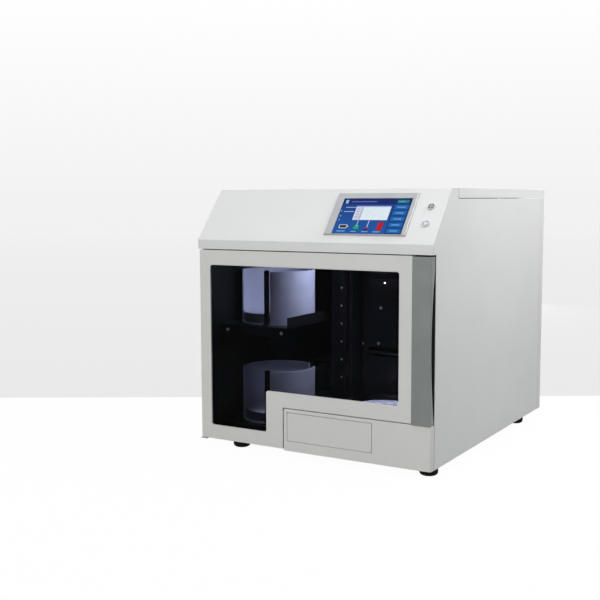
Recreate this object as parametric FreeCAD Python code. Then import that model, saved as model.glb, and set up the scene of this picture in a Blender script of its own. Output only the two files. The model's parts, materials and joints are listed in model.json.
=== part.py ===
import FreeCAD, Part
import math
import os

# A desktop disc publisher: two stackers, a lifting and swinging picker arm, two drives,
# a disc printer and an output drawer in a steel cabinet with a hinged door and a hinged lid.
# Frame: X to the right, Y to the back, Z up, origin on the floor under the middle.
# Places across the depth are given as a distance back from the door's front face.

# cabinet
width = 420.0
left_side = -width / 2
right_side = width / 2
body_depth = 525.0
height = 429.0
foot_height = 12.0
sheet = 1.5
door_depth = 12.0
corner_gap = 1.0
rear_wrap = 18.0
flange_height = 12.0

# console above the door
lip_bottom = 332.0
lip_height = 15.0
slant_run = 67.6
console_depth = 95.0
bend_radius = 2.4
lid_gap = 1.5
skirt_height = 15.0

# door, window and handle
door_thickness = 11.0
door_skin = 3.0
seam = 1.6
door_clearance = 1.0
side_inset = 0.5
handle_inset = 1.0
handle_width = 31.0
handle_proud = 3.0
handle_round = 1.5
handle_scoop = 11.0
scoop_height = 226.0
scoop_centre = 197.0
pocket_width = 18.0
window_left = left_side + 23.5
window_right = right_side - 53.5
window_top = 306.0
window_step_x = left_side + 132.0
window_step_z = 106.0
window_bottom = 38.0
window_radius = 4.0
pane_thickness = 3.0
pane_lap = 6.0
door_pin_radius = 2.0
door_pin_fit = 0.06
door_pin_length = 9.0

# fixed lower panel and drawer
panel_left = left_side + 165.0
panel_top = 80.0
panel_skin = 2.5
panel_corner = 4.0
drawer_left = left_side + 171.0
drawer_right = left_side + 322.5
drawer_bottom = 28.0
drawer_top = 74.5
drawer_gap = 0.6
drawer_wall = 2.0
drawer_depth = 264.0
drawer_to_partition = 12.0
tray_height = 32.0
runner_width = 6.0
runner_fit = 0.4

# screen and buttons on the console's slope, measured up the slope from its foot
bezel_width = 137.5
bezel_height = 81.5
bezel_x = right_side - 117.2
bezel_s = 55.0
bezel_proud = 3.0
display_width = 117.0
display_height = 69.0
display_thickness = 8.0
display_rim = 1.3
display_shift = 3.5
button_x = right_side - 22.7
power_s = 70.2
menu_s = 38.1
button_radius = 6.0
button_fit = 0.35
button_travel = 1.2
button_proud = 1.6

# discs and stackers
disc_radius = 60.0
disc_thickness = 1.2
disc_bore = 7.5
disc_room = 4.5
tray_d = drawer_depth - drawer_wall - disc_room - disc_radius
pivot_d = tray_d + 10.5
stack_discs = 13
stacker_x = left_side + 71.5
stacker_d = pivot_d - 72.0
stacker_radius = 63.5
stacker_wall = 2.5
stacker_floor = 3.0
stacker_height = 91.0
lower_base = 30.0
upper_base = 200.5
finger_from = -60.0
finger_to = 19.0
arm_slot_width = 36.0
arm_slot_sill = 20.0
shelf_front = stacker_d - 78.0
shelf_right = left_side + 138.0
shelf_flange = 17.5
shelf_flange_back = stacker_d + 46.0
shelf_notch_x = left_side + 120.0
shelf_notch_d = stacker_d + 48.0
shelf_back = stacker_d + 67.0
shelf_drop = 16.0
post_width = 9.0
post_depth = 3.0

# picker column, rail and belt
pivot_x = left_side + 144.6
column_left = left_side + 120.0
column_right = left_side + 162.0
column_front = pivot_d + 32.0
column_back = column_front + 40.0
column_top = height - 17.0
column_wall = 2.0
rail_width = 10.0
rail_depth = 8.0
rail_bottom = 92.0
rail_top = column_top - 7.0
rail_foot = 54.0
rail_pitch = 32.5
belt_slot_left = left_side + 151.5
belt_slot_right = left_side + 156.0
belt_d = column_front + 21.0
belt_x = left_side + 150.5
belt_width = 6.0
belt_thickness = 1.4
pulley_radius = 8.0
pulley_bottom = 36.0
pulley_top = column_top - 16.0
shaft_radius = 2.5
shaft_fit = 0.06

# carriage, arm and gripper, with the arm parked at the top
face_z = height - 97.0
gripper_height = 20.0
gripper_radius = 16.0
arm_thickness = 10.0
arm_width = 18.0
hub_radius = 12.0
bracket_thickness = 3.0
block_height = 36.0
block_width = 26.0
block_front = column_front - 16.0
head_relief = 2.0
head_relief_width = 6.0
slide_fit = 0.4
swing_motor_width = 28.0
swing_motor_height = 28.0
swing_shaft_radius = 2.5
collet_radius = 7.2
collet_height = 6.0
plunger_radius = 3.0
plunger_travel = 3.0

# drives and printer behind the partition
tray_x = left_side + 246.75
partition_d = drawer_depth + drawer_to_partition
partition_left = left_side + 166.0
drive_width = 146.0
drive_height = 41.3
drive_depth = 165.0
lower_drive_z = 255.0
drive_pitch = 42.8
drive_skin = 1.0
bezel_depth = 4.0
tray_width = 128.0
tray_thickness = 6.0
tray_length = 160.0
tray_travel = 140.0
tray_rise = 14.0
tray_front = 3.0
eject_x = left_side + 307.0
eject_rise = 7.0
eject_travel = 1.0
printer_left = left_side + 168.0
printer_right = right_side - 10.0
printer_bottom = 96.0
printer_top = 236.0
printer_back = body_depth - 45.0
printer_tray_z = 132.0
printer_tray_width = 136.0
printer_travel = 130.0
rod_radius = 5.0
rod_fit = 0.08
carriage_width = 52.0

# electronics at the back
fan_width = 80.0
fan_depth = 25.0
fan_x = right_side - 60.0
fan_z = 72.0
fan_hub = 17.0
blade_count = 7
inlet_x = left_side + 60.0
inlet_z = 60.0
inlet_width = 48.0
inlet_height = 30.0
rocker_height = 18.0
rocker_width = 12.0
rocker_tilt = 8.0
board_x = left_side + 80.0
board_size = 150.0

# feet
foot_radius = 14.3
foot_left_x = left_side + 64.5
foot_right_x = right_side - 16.0
foot_back_left_x = left_side + 94.0
foot_front_d = 29.0
foot_back_d = 427.0

# lid hinge
knuckle_radius = 3.0
knuckle_length = 40.0
hinge_x = right_side - 70.0
leaf_height = 11.0
leaf_thickness = 1.0

screw_radius = 3.0
screw_head = 1.8

hinge_stand_out = leaf_thickness + 2 * knuckle_radius
front_y = -(handle_proud + body_depth + hinge_stand_out) / 2 + handle_proud
half = width / 2
inner = half - sheet
floor_top = foot_height + sheet
lip_top = lip_bottom + lip_height
lid_front = console_depth + lid_gap
skirt_bottom = height - skirt_height
side_top = skirt_bottom - corner_gap
side_back = body_depth - rear_wrap
ceiling = height - sheet
frame_back = door_depth + sheet
display_x = bezel_x + display_shift
display_s = bezel_s - bezel_height / 2 + display_rim + display_height / 2


def vec(x, d, z):
    return FreeCAD.Vector(x, front_y + d, z)


def box(x0, x1, d0, d1, z0, z1):
    return Part.makeBox(x1 - x0, d1 - d0, z1 - z0, vec(x0, d0, z0))


def upright(x, d, z0, z1, radius):
    return Part.makeCylinder(radius, z1 - z0, vec(x, d, z0), FreeCAD.Vector(0, 0, 1))


def along_depth(x, z, d0, d1, radius):
    return Part.makeCylinder(radius, d1 - d0, vec(x, d0, z), FreeCAD.Vector(0, 1, 0))


def across(d, z, x0, x1, radius):
    return Part.makeCylinder(radius, x1 - x0, vec(x0, d, z), FreeCAD.Vector(1, 0, 0))


def prism(points, step):
    return Part.Face(Part.makePolygon(points + points[:1])).extrude(step)


def side_plate(profile, x0, x1):
    """A plate across X whose outline is given as (distance back, height)."""
    return prism([vec(x0, d, z) for d, z in profile], FreeCAD.Vector(x1 - x0, 0, 0))


def front_plate(outline, d0, d1):
    """A plate across the depth whose outline is given as (x, height)."""
    return prism([vec(x, d0, z) for x, z in outline], FreeCAD.Vector(0, d1 - d0, 0))


def floor_plate(outline, z0, z1):
    """A level plate whose outline is given as (x, distance back)."""
    return prism([vec(x, d, z0) for x, d in outline], FreeCAD.Vector(0, 0, z1 - z0))


def upright_edges(shape, x, d, near=0.6):
    return [
        edge
        for edge in shape.Edges
        if all(abs(v.X - x) < near and abs(v.Y - front_y - d) < near for v in edge.Vertexes)
    ]


def round_upright(shape, corners, radius):
    edges = []
    for x, d in corners:
        edges += upright_edges(shape, x, d)
    return shape.makeFillet(radius, edges)


def round_level(shape, corners, radius):
    """Rounds the edges that run front to back through each (x, height)."""
    edges = [
        edge
        for edge in shape.Edges
        for x, z in corners
        if all(abs(v.X - x) < 0.01 and abs(v.Z - z) < 0.01 for v in edge.Vertexes)
    ]
    return shape.makeFillet(radius, edges)


slope = math.degrees(math.atan2(height - lip_top, slant_run))
slope_place = FreeCAD.Placement(
    vec(0, 0, lip_top), FreeCAD.Rotation(FreeCAD.Vector(1, 0, 0), slope)
)


def on_slope(shape):
    """Moves a shape drawn as (x, up the slope, out of the slope) onto the console."""
    placed = shape.copy()
    placed.Placement = slope_place.multiply(placed.Placement)
    return placed


def slope_box(x, s, w, h, n0, n1):
    corner = FreeCAD.Vector(x - w / 2, s - h / 2, n0)
    return Part.makeBox(w, h, n1 - n0, corner)


def slope_rod(x, s, radius, n0, n1):
    return Part.makeCylinder(radius, n1 - n0, FreeCAD.Vector(x, s, n0))


def runs_through(edge, points):
    """Whether an edge runs straight across X through one of the (distance back, height) points."""
    return any(
        all(abs(v.Y - front_y - d) < 0.01 and abs(v.Z - z) < 0.01 for v in edge.Vertexes) for d, z in points
    )


def folded(outer, thickness, x0, x1):
    """A folded sheet: the outer line as (distance back, height), thickness to its right."""
    inside = []
    last = len(outer) - 1
    for i, (d, z) in enumerate(outer):
        ways = []
        if i > 0:
            ways.append((d - outer[i - 1][0], z - outer[i - 1][1]))
        if i < last:
            ways.append((outer[i + 1][0] - d, outer[i + 1][1] - z))
        normals = [(b / math.hypot(a, b), -a / math.hypot(a, b)) for a, b in ways]
        n_d = sum(n[0] for n in normals)
        n_z = sum(n[1] for n in normals)
        scale = thickness * len(normals) / (n_d * n_d + n_z * n_z)
        inside.append((d + n_d * scale, z + n_z * scale))
    return side_plate(outer + inside[::-1], x0, x1)


def save(name, shape):
    shape.removeSplitter().exportStep("parts/" + name + ".step")


os.makedirs("parts", exist_ok=True)


# cabinet shell

door_pin_d = door_thickness / 2
door_pin_x = -half + side_inset + door_thickness / 2
door_bottom = floor_top + door_clearance
door_top = lip_bottom - seam

base_pan = box(-inner, inner, door_depth, body_depth - sheet, foot_height, floor_top)
base_pan = base_pan.fuse(
    [
        box(-inner, -inner + sheet, frame_back, body_depth - sheet, floor_top, floor_top + flange_height),
        box(inner - sheet, inner, frame_back, body_depth - sheet, floor_top, floor_top + flange_height),
        box(-inner, inner, body_depth - 2 * sheet, body_depth - sheet, floor_top, floor_top + flange_height),
        box(-half + side_inset, door_pin_x + door_pin_d, side_inset, door_depth, foot_height, floor_top),
    ]
)
save("base_pan", base_pan)

foot_places = [
    (foot_left_x, foot_front_d),
    (foot_right_x, foot_front_d),
    (foot_back_left_x, foot_back_d),
    (foot_right_x, foot_back_d),
]
feet = []
for x, d in foot_places:
    puck = upright(x, d, 0, foot_height, foot_radius)
    lower = [e for e in puck.Edges if len(e.Vertexes) == 1 and e.Vertexes[0].Z < 0.1]
    feet.append(puck.makeFillet(foot_height * 0.45, lower))
save("feet", Part.makeCompound(feet))

# the side panels stop against the inside of the console's folded sheet
slant_inset = sheet / math.sin(math.radians(slope))
slant_rise = math.tan(math.radians(slope))
side_profile = [
    (door_depth, foot_height),
    (door_depth, lip_bottom),
    (sheet, lip_bottom),
    (sheet, lip_top - (slant_inset - sheet) * slant_rise),
    (slant_inset + (ceiling - lip_top) / slant_rise, ceiling),
    (console_depth, ceiling),
    (console_depth, side_top),
    (side_back, side_top),
    (side_back, foot_height),
]
save("left_side_panel", side_plate(side_profile, -half, -inner))
save("right_side_panel", side_plate(side_profile, inner, half))

lid_pin_z = skirt_bottom - corner_gap / 2
lid_pin_d = body_depth + leaf_thickness + knuckle_radius


def knuckle(x0, x1):
    barrel = across(lid_pin_d, lid_pin_z, x0, x1, knuckle_radius)
    return barrel.cut(across(lid_pin_d, lid_pin_z, x0 - 1, x1 + 1, shaft_radius / 2 + shaft_fit))


fan_opening = along_depth(fan_x, fan_z, body_depth - 3 * sheet, body_depth + 1, fan_width / 2 - 3)
inlet_opening = box(
    inlet_x - inlet_width / 2,
    inlet_x + inlet_width / 2,
    body_depth - 3 * sheet,
    body_depth + 1,
    inlet_z - inlet_height / 2,
    inlet_z + inlet_height / 2,
)
port_width = 130.0
port_height = 18.0
port_z = 92.0
port_opening = box(
    board_x - port_width / 2,
    board_x + port_width / 2,
    body_depth - 3 * sheet,
    body_depth + 1,
    port_z,
    port_z + port_height,
)
rear_panel = box(-half, half, body_depth - sheet, body_depth, foot_height, side_top)
rear_panel = rear_panel.fuse(
    [
        box(-half, -inner, side_back + 0.5, body_depth - sheet, foot_height, side_top),
        box(inner, half, side_back + 0.5, body_depth - sheet, foot_height, side_top),
    ]
)
rear_panel = rear_panel.cut([fan_opening, inlet_opening, port_opening])
vent_slots = []
vent_count = 9
vent_pitch = 14.0
vent_bottom = height - 129.0
for row in range(2):
    for i in range(vent_count):
        x = (i - (vent_count - 1) / 2) * vent_pitch + 20.0
        z = vent_bottom + row * 50.0
        vent_slots.append(box(x - 2.5, x + 2.5, body_depth - 2 * sheet, body_depth + 1, z, z + 36.0))
rear_panel = rear_panel.cut(vent_slots)
for side in (-1, 1):
    x = side * hinge_x
    leaf = box(
        x - knuckle_length / 2,
        x + knuckle_length / 2,
        body_depth,
        body_depth + leaf_thickness,
        lid_pin_z - leaf_height,
        lid_pin_z,
    )
    leaf = leaf.cut(
        across(lid_pin_d, lid_pin_z, x - knuckle_length, x + knuckle_length, knuckle_radius + 0.4)
    )
    lower_knuckle = knuckle(x - knuckle_length / 2, x - 0.2)
    web = box(
        x - knuckle_length / 2,
        x - 0.2,
        body_depth,
        lid_pin_d - knuckle_radius / 2,
        lid_pin_z - 2.5,
        lid_pin_z,
    ).cut(across(lid_pin_d, lid_pin_z, x - knuckle_length, x, shaft_radius / 2 + shaft_fit))
    rear_panel = rear_panel.fuse([leaf, web, lower_knuckle])
save("rear_panel", rear_panel)

hinge_pins = [
    upright(door_pin_x, door_pin_d, floor_top, floor_top + door_pin_length, door_pin_radius),
    upright(door_pin_x, door_pin_d, lip_bottom - door_pin_length, lip_bottom, door_pin_radius),
]
for side in (-1, 1):
    x = side * hinge_x
    hinge_pins.append(
        across(lid_pin_d, lid_pin_z, x - knuckle_length / 2, x + knuckle_length / 2, shaft_radius / 2)
    )
hinge_pins.append(across(belt_d, pulley_top, column_left, column_right - column_wall, shaft_radius))
save("pivot_pins", Part.makeCompound(hinge_pins))

# inner frame that the door closes against
frame_border = 13.0
frame_bar = 16.0
sill_lap = 14.0
front_frame = box(-inner, inner, door_depth, door_depth + sheet, floor_top, lip_bottom + lip_height / 2)
opening_left = -inner + frame_border
opening_right = window_right + 12.0
opening_top = lip_bottom - 16.0
front_frame = front_frame.cut(
    [
        box(opening_left, opening_right, 0, 2 * door_depth, panel_top + frame_bar / 2, opening_top),
        box(
            opening_left,
            panel_left - frame_bar / 2,
            0,
            2 * door_depth,
            floor_top + sill_lap,
            panel_top + frame_bar,
        ),
        box(
            drawer_left + drawer_gap,
            drawer_right - drawer_gap,
            0,
            2 * door_depth,
            drawer_bottom + drawer_gap,
            drawer_top - drawer_gap,
        ),
    ]
)
save("front_frame", front_frame)

console_line = [
    (0, lip_bottom),
    (0, lip_top),
    (slant_run, height),
    (console_depth, height),
]
console = folded(console_line, sheet, -half, half)
bends = [(0, lip_top), (slant_run, height)]
console = console.makeFillet(bend_radius, [edge for edge in console.Edges if runs_through(edge, bends)])
console = console.fuse(
    box(-inner, inner, sheet, door_depth, lip_bottom, lip_bottom + sheet)
)
bezel_cut = on_slope(slope_box(display_x, display_s, display_width + 2.0, display_height + 2.0, -5, 5))
button_cuts = [
    on_slope(slope_rod(button_x, s, button_radius + button_fit, -5, 5)) for s in (power_s, menu_s)
]
console = console.cut([bezel_cut] + button_cuts)
save("control_console", console)

# fixed lower panel: a moulded tray with its hollow towards the back
lower_panel = box(panel_left, half, 0, door_depth, foot_height, panel_top)
lower_panel = round_upright(lower_panel, [(half, 0)], panel_corner)
lower_panel = lower_panel.cut(
    [
        box(
            panel_left + panel_skin,
            half - panel_skin,
            panel_skin,
            2 * door_depth,
            floor_top + door_clearance,
            panel_top - panel_skin,
        ),
        box(drawer_left, drawer_right, -1, 2 * door_depth, drawer_bottom, drawer_top),
    ]
)
save("lower_front_panel", lower_panel)

# lid
top_cover = box(-half, half, lid_front, body_depth, ceiling, height)
top_cover = top_cover.fuse(
    [
        box(-half, -inner, lid_front, body_depth, skirt_bottom, ceiling),
        box(inner, half, lid_front, body_depth, skirt_bottom, ceiling),
        box(-inner, inner, body_depth - sheet, body_depth, skirt_bottom, ceiling),
        box(-inner, inner, lid_front, lid_front + sheet, ceiling - 5.0, ceiling),
    ]
)
for side in (-1, 1):
    x = side * hinge_x
    leaf = box(
        x - knuckle_length / 2,
        x + knuckle_length / 2,
        body_depth,
        body_depth + leaf_thickness,
        lid_pin_z + corner_gap / 2,
        lid_pin_z + leaf_height,
    )
    leaf = leaf.cut(
        across(lid_pin_d, lid_pin_z, x - knuckle_length, x + knuckle_length, knuckle_radius + 0.4)
    )
    web = box(
        x + 0.2,
        x + knuckle_length / 2,
        body_depth,
        lid_pin_d,
        lid_pin_z + corner_gap / 2,
        lid_pin_z + 2.8,
    ).cut(across(lid_pin_d, lid_pin_z, x, x + knuckle_length, shaft_radius / 2 + shaft_fit))
    top_cover = top_cover.fuse([leaf, web, knuckle(x + 0.2, x + knuckle_length / 2)])
save("top_cover", top_cover)


# door

door_edge = half - handle_inset - handle_width
step_left = panel_left - seam
step_top = panel_top + seam
door_outline = [
    (door_pin_x, door_bottom),
    (step_left, door_bottom),
    (step_left, step_top),
    (door_edge, step_top),
    (door_edge, door_top),
    (door_pin_x, door_top),
]
window_outline = [
    (window_left, window_bottom),
    (window_step_x, window_bottom),
    (window_step_x, window_step_z),
    (window_right, window_step_z),
    (window_right, window_top),
    (window_left, window_top),
]


def grown(outline, by):
    """The stepped outline with every side moved out by the same distance."""
    left, bottom = outline[0]
    right, top = outline[4]
    inner_x, inner_z = outline[2]
    return [
        (left - by, bottom - by),
        (inner_x + by, bottom - by),
        (inner_x + by, inner_z - by),
        (right + by, inner_z - by),
        (right + by, top + by),
        (left - by, top + by),
    ]


window_hole = round_level(front_plate(window_outline, -1, 20), window_outline, window_radius)
pane_room = front_plate(grown(window_outline, pane_lap + 0.3), door_skin, 20)
door_frame = front_plate(door_outline, 0, door_thickness)
door_frame = door_frame.fuse(
    upright(door_pin_x, door_pin_d, door_bottom, door_top, door_thickness / 2)
)
pin_hole_depth = door_pin_length + 0.5
door_frame = door_frame.cut(
    [
        window_hole,
        pane_room,
        upright(
            door_pin_x, door_pin_d, door_bottom - 1, floor_top + pin_hole_depth, door_pin_radius + door_pin_fit
        ),
        upright(
            door_pin_x, door_pin_d, lip_bottom - pin_hole_depth, door_top + 1, door_pin_radius + door_pin_fit
        ),
    ]
)
save("door_frame", door_frame)

pane = front_plate(grown(window_outline, pane_lap), door_skin, door_skin + pane_thickness)
save("door_window", pane)

handle_left = door_edge
handle_right = half - handle_inset
handle = box(
    handle_left, handle_right, -handle_proud, door_thickness, step_top - handle_inset, door_top - handle_inset
)
handle = round_upright(handle, [(handle_left, -handle_proud), (handle_right, -handle_proud)], handle_round)
scoop_radius = (scoop_height ** 2 / 4 + handle_scoop ** 2) / (2 * handle_scoop)
scoop = Part.makeCylinder(
    scoop_radius,
    pocket_width + 5,
    vec(handle_right - pocket_width, door_thickness - handle_scoop + scoop_radius, scoop_centre),
    FreeCAD.Vector(1, 0, 0),
)
handle = handle.cut(scoop)
save("door_handle", handle)

catch_z = [step_top + 20.0, door_top - 40.0]
magnet_height = 20.0
magnets = [
    box(door_edge - 16.0, door_edge - 2.0, door_thickness + 0.3, door_depth, z, z + magnet_height)
    for z in catch_z
]
save("door_magnets", Part.makeCompound(magnets))


# drawer

drawer_front = box(
    drawer_left + drawer_gap,
    drawer_right - drawer_gap,
    0.0,
    3.0,
    drawer_bottom + drawer_gap,
    drawer_top - drawer_gap,
)
save("drawer_front", drawer_front)

tray_left = drawer_left + 4.0
tray_right = drawer_right - 4.0
tray_bottom = drawer_bottom + 2.0
drawer_tray = box(tray_left, tray_right, 3.0, drawer_depth, tray_bottom, tray_bottom + tray_height)
drawer_tray = drawer_tray.cut(
    box(
        tray_left + drawer_wall,
        tray_right - drawer_wall,
        3.0 + drawer_wall,
        drawer_depth - drawer_wall,
        tray_bottom + drawer_wall,
        tray_bottom + tray_height + 1,
    )
)
save("drawer_tray", drawer_tray)


def disc_stack(x, d, z, count):
    stack = upright(x, d, z, z + count * disc_thickness, disc_radius)
    return stack.cut(upright(x, d, z - 1, z + count * disc_thickness + 1, disc_bore))


drawer_discs = 19
save("drawer_discs", disc_stack(tray_x, tray_d, tray_bottom + drawer_wall, drawer_discs))

runners = []
for inside, outside in (
    (tray_left - runner_fit, tray_left - runner_fit - runner_width),
    (tray_right + runner_fit, tray_right + runner_fit + runner_width),
):
    low, high = min(inside, outside), max(inside, outside)
    foot = box(low, high, door_depth + 2 * sheet, drawer_depth + 4, floor_top, tray_bottom - runner_fit + 14)
    runners.append(foot)
ledge_top = tray_bottom - runner_fit
runners[0] = runners[0].fuse(
    box(tray_left - 1.0, tray_left + 8.0, door_depth + 2 * sheet, drawer_depth + 4, floor_top, ledge_top)
)
runners[1] = runners[1].fuse(
    box(tray_right - 8.0, tray_right + 1.0, door_depth + 2 * sheet, drawer_depth + 4, floor_top, ledge_top)
)
save("drawer_runners", Part.makeCompound(runners))


# screen and buttons

bezel = slope_box(bezel_x, bezel_s, bezel_width, bezel_height, 0, bezel_proud)
bezel_rim = [e for e in bezel.Edges if all(abs(v.Z - bezel_proud) < 0.01 for v in e.Vertexes)]
bezel = bezel.makeChamfer(1.2, bezel_rim)
bezel = bezel.cut(slope_box(display_x, display_s, display_width, display_height, -5, 10))
save("screen_bezel", on_slope(bezel))

screen = slope_box(
    display_x, display_s, display_width + 1.0, display_height + 1.0, -display_thickness, 0
)
glass = slope_box(display_x, display_s, display_width - 0.6, display_height - 0.6, -1.0, bezel_proud - 0.3)
screen = screen.fuse(glass).removeSplitter()
save("touch_screen", on_slope(screen))

button_flange = 1.5


def button(s):
    cap = slope_rod(button_x, s, button_radius, -sheet - button_travel - 0.4, button_proud)
    top = [e for e in cap.Edges if len(e.Vertexes) == 1 and e.Vertexes[0].Z > 0]
    cap = cap.makeFillet(0.6, top)
    flange = slope_rod(
        button_x, s, button_radius + 1.5, -sheet - 0.3 - button_flange, -sheet - 0.3
    )
    return on_slope(cap.fuse(flange))


save("power_button", button(power_s))
save("menu_button", button(menu_s))


# stackers and their shelves

shelf_outline = [
    (-inner, shelf_front),
    (shelf_right, shelf_front),
    (shelf_right, shelf_notch_d),
    (shelf_notch_x, shelf_notch_d),
    (shelf_notch_x, shelf_back),
    (-inner, shelf_back),
]
drop_bottom = upper_base - shelf_drop
shelf = floor_plate(shelf_outline, upper_base - sheet, upper_base)
shelf = shelf.fuse(
    [
        box(
            shelf_right - sheet,
            shelf_right,
            shelf_front,
            shelf_flange_back,
            upper_base,
            upper_base + shelf_flange,
        ),
        box(-inner, shelf_right, shelf_front, shelf_front + sheet, drop_bottom, upper_base - sheet),
        box(-inner, -inner + sheet, shelf_front + sheet, shelf_back, drop_bottom, upper_base - sheet),
    ]
)
save("stacker_shelf", shelf)

stool = floor_plate(shelf_outline, lower_base - sheet, lower_base)
stool = stool.fuse(
    [
        box(-inner + sheet, shelf_right, shelf_front, shelf_front + sheet, floor_top, lower_base - sheet),
        box(-inner + sheet, shelf_notch_x, shelf_back - sheet, shelf_back, floor_top, lower_base - sheet),
    ]
).cut(box(-inner, -inner + sheet, 0, 300, floor_top, lower_base + 1))
save("stacker_stool", stool)


def wedge(start, end, reach):
    """A slice about the stacker's axis between two bearings from the front, to the right."""
    steps = 6
    points = [FreeCAD.Vector(0, 0, 0)]
    for i in range(steps + 1):
        a = math.radians(start + (end - start) * i / steps)
        points.append(FreeCAD.Vector(math.sin(a) * reach, -math.cos(a) * reach, 0))
    return points


arm_bearing = math.degrees(math.atan2(pivot_x - stacker_x, -(pivot_d - stacker_d)))


def stacker(z):
    cup = upright(stacker_x, stacker_d, z, z + stacker_height, stacker_radius)
    cup = cup.cut(
        upright(stacker_x, stacker_d, z + stacker_floor, z + stacker_height + 1, stacker_radius - stacker_wall)
    )
    axis = vec(stacker_x, stacker_d, z + stacker_floor)
    finger = [axis + p for p in wedge(finger_from, finger_to, stacker_radius * 1.5)]
    cup = cup.cut(prism(finger, FreeCAD.Vector(0, 0, stacker_height)))
    slot = Part.makeBox(
        arm_slot_width,
        stacker_radius * 1.3,
        stacker_height,
        FreeCAD.Vector(-arm_slot_width / 2, -stacker_radius * 1.3, arm_slot_sill),
    )
    slot.rotate(FreeCAD.Vector(0, 0, 0), FreeCAD.Vector(0, 0, 1), arm_bearing)
    slot.translate(vec(stacker_x, stacker_d, z))
    return cup.cut(slot)


save("upper_stacker", stacker(upper_base))
save("lower_stacker", stacker(lower_base))

stacks = [
    disc_stack(stacker_x, stacker_d, base + stacker_floor, stack_discs) for base in (upper_base, lower_base)
]
save("disc_stacks", Part.makeCompound(stacks))

posts = []
# the post stands just inside the right edge of the finger opening
post_bearing = finger_to - math.degrees(post_width / 2 / stacker_radius) - 1.0
for base in (upper_base, lower_base):
    post = Part.makeBox(
        post_width,
        post_depth,
        stacker_height - 1.0,
        FreeCAD.Vector(-post_width / 2, -stacker_radius - post_depth + 1.5, 0),
    )
    post.rotate(FreeCAD.Vector(0, 0, 0), FreeCAD.Vector(0, 0, 1), post_bearing)
    post.translate(vec(stacker_x, stacker_d, base + stacker_floor + 0.3))
    foot = Part.makeBox(
        post_width,
        10.0,
        stacker_floor + 0.3,
        FreeCAD.Vector(-post_width / 2, -stacker_radius - 10.3, 0),
    )
    foot.rotate(FreeCAD.Vector(0, 0, 0), FreeCAD.Vector(0, 0, 1), post_bearing)
    foot.translate(vec(stacker_x, stacker_d, base))
    posts.append(post.fuse(foot))
save("stacker_posts", Part.makeCompound(posts))


# picker column

column = box(column_left, column_right, column_front, column_back, floor_top, column_top)
column = column.cut(
    [
        box(
            column_left + column_wall,
            column_right - column_wall,
            column_front + column_wall,
            column_back + 1,
            floor_top - 1,
            column_top + 1,
        ),
        box(
            belt_slot_left,
            belt_slot_right,
            column_front - 1,
            column_front + column_wall + 1,
            rail_bottom,
            column_top - 10,
        ),
        across(belt_d, pulley_bottom, column_left - 1, column_left + column_wall + 1, 6.0),
        across(belt_d, pulley_top, column_left - 1, column_left + column_wall + 1, shaft_radius),
    ]
)
save("picker_column", column)

rail = box(
    pivot_x - rail_width / 2,
    pivot_x + rail_width / 2,
    column_front - rail_depth,
    column_front,
    rail_bottom,
    rail_top,
)
rail_end = front_plate(
    [
        (pivot_x - rail_width / 2 + 1.5, rail_foot),
        (pivot_x + rail_width / 2 - 1.5, rail_foot),
        (pivot_x + rail_width / 2, rail_bottom),
        (pivot_x - rail_width / 2, rail_bottom),
    ],
    column_front - rail_depth / 2,
    column_front,
)
rail = rail.fuse(rail_end)
save("lift_rail", rail)

motor_size = 40.0
motor_length = 34.0
motor = box(
    column_left - motor_length,
    column_left,
    belt_d - motor_size / 2,
    belt_d + motor_size / 2,
    pulley_bottom - motor_size / 2,
    pulley_bottom + motor_size / 2,
)
motor = motor.fuse(across(belt_d, pulley_bottom, column_left, column_left + 24.0, shaft_radius))
save("lift_motor", motor)


def pulley(z, bore):
    """A grooved belt pulley with a flange at each end, turning about X."""
    x0 = belt_x - belt_width / 2 - 1.0
    x1 = belt_x + belt_width / 2 + 1.0
    wheel = across(belt_d, z, x0, x1, pulley_radius - belt_thickness / 2 - 0.3)
    wheel = wheel.fuse(
        [across(belt_d, z, x0 - 1.0, x0, pulley_radius + 1), across(belt_d, z, x1, x1 + 1.0, pulley_radius + 1)]
    )
    return wheel.cut(across(belt_d, z, x0 - 2, x1 + 2, bore))


save("motor_pulley", pulley(pulley_bottom, shaft_radius + shaft_fit))
save("idler_pulley", pulley(pulley_top, shaft_radius + shaft_fit))


def belt_loop(radius, x0, x1):
    ends = [across(belt_d, z, x0, x1, radius) for z in (pulley_bottom, pulley_top)]
    return box(x0, x1, belt_d - radius, belt_d + radius, pulley_bottom, pulley_top).fuse(ends)


belt_x0 = belt_x - belt_width / 2
belt_x1 = belt_x + belt_width / 2
belt = belt_loop(pulley_radius + belt_thickness / 2, belt_x0, belt_x1).cut(
    belt_loop(pulley_radius - belt_thickness / 2, belt_x0 - 1, belt_x1 + 1)
)
save("lift_belt", belt)



# carriage, swing motor, arm and gripper

hub_top = face_z + gripper_height + arm_thickness
plate_z = hub_top + 1.0
block_z = plate_z
block = box(
    pivot_x - block_width / 2,
    pivot_x + block_width / 2,
    block_front,
    column_front - slide_fit,
    block_z,
    block_z + block_height,
)
block = block.cut(
    box(
        pivot_x - rail_width / 2 - slide_fit,
        pivot_x + rail_width / 2 + slide_fit,
        column_front - rail_depth - slide_fit,
        column_front + 1,
        block_z - 1,
        block_z + block_height + 1,
    )
)
block = block.cut(
    box(
        pivot_x - head_relief_width / 2,
        pivot_x + head_relief_width / 2,
        column_front - rail_depth - head_relief,
        column_front - rail_depth,
        block_z - 1,
        block_z + block_height + 1,
    )
)
plate = box(
    pivot_x - swing_motor_width / 2,
    pivot_x + swing_motor_width / 2,
    pivot_d - swing_motor_width / 2,
    block_front,
    plate_z,
    plate_z + bracket_thickness,
)
plate = plate.cut(upright(pivot_x, pivot_d, plate_z - 1, plate_z + 10, swing_shaft_radius + 1.0))
clamp = box(
    belt_slot_left + slide_fit,
    belt_slot_right - slide_fit,
    column_front - slide_fit,
    belt_d - pulley_radius - belt_thickness,
    block_z + 8,
    block_z + 24,
)
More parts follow.
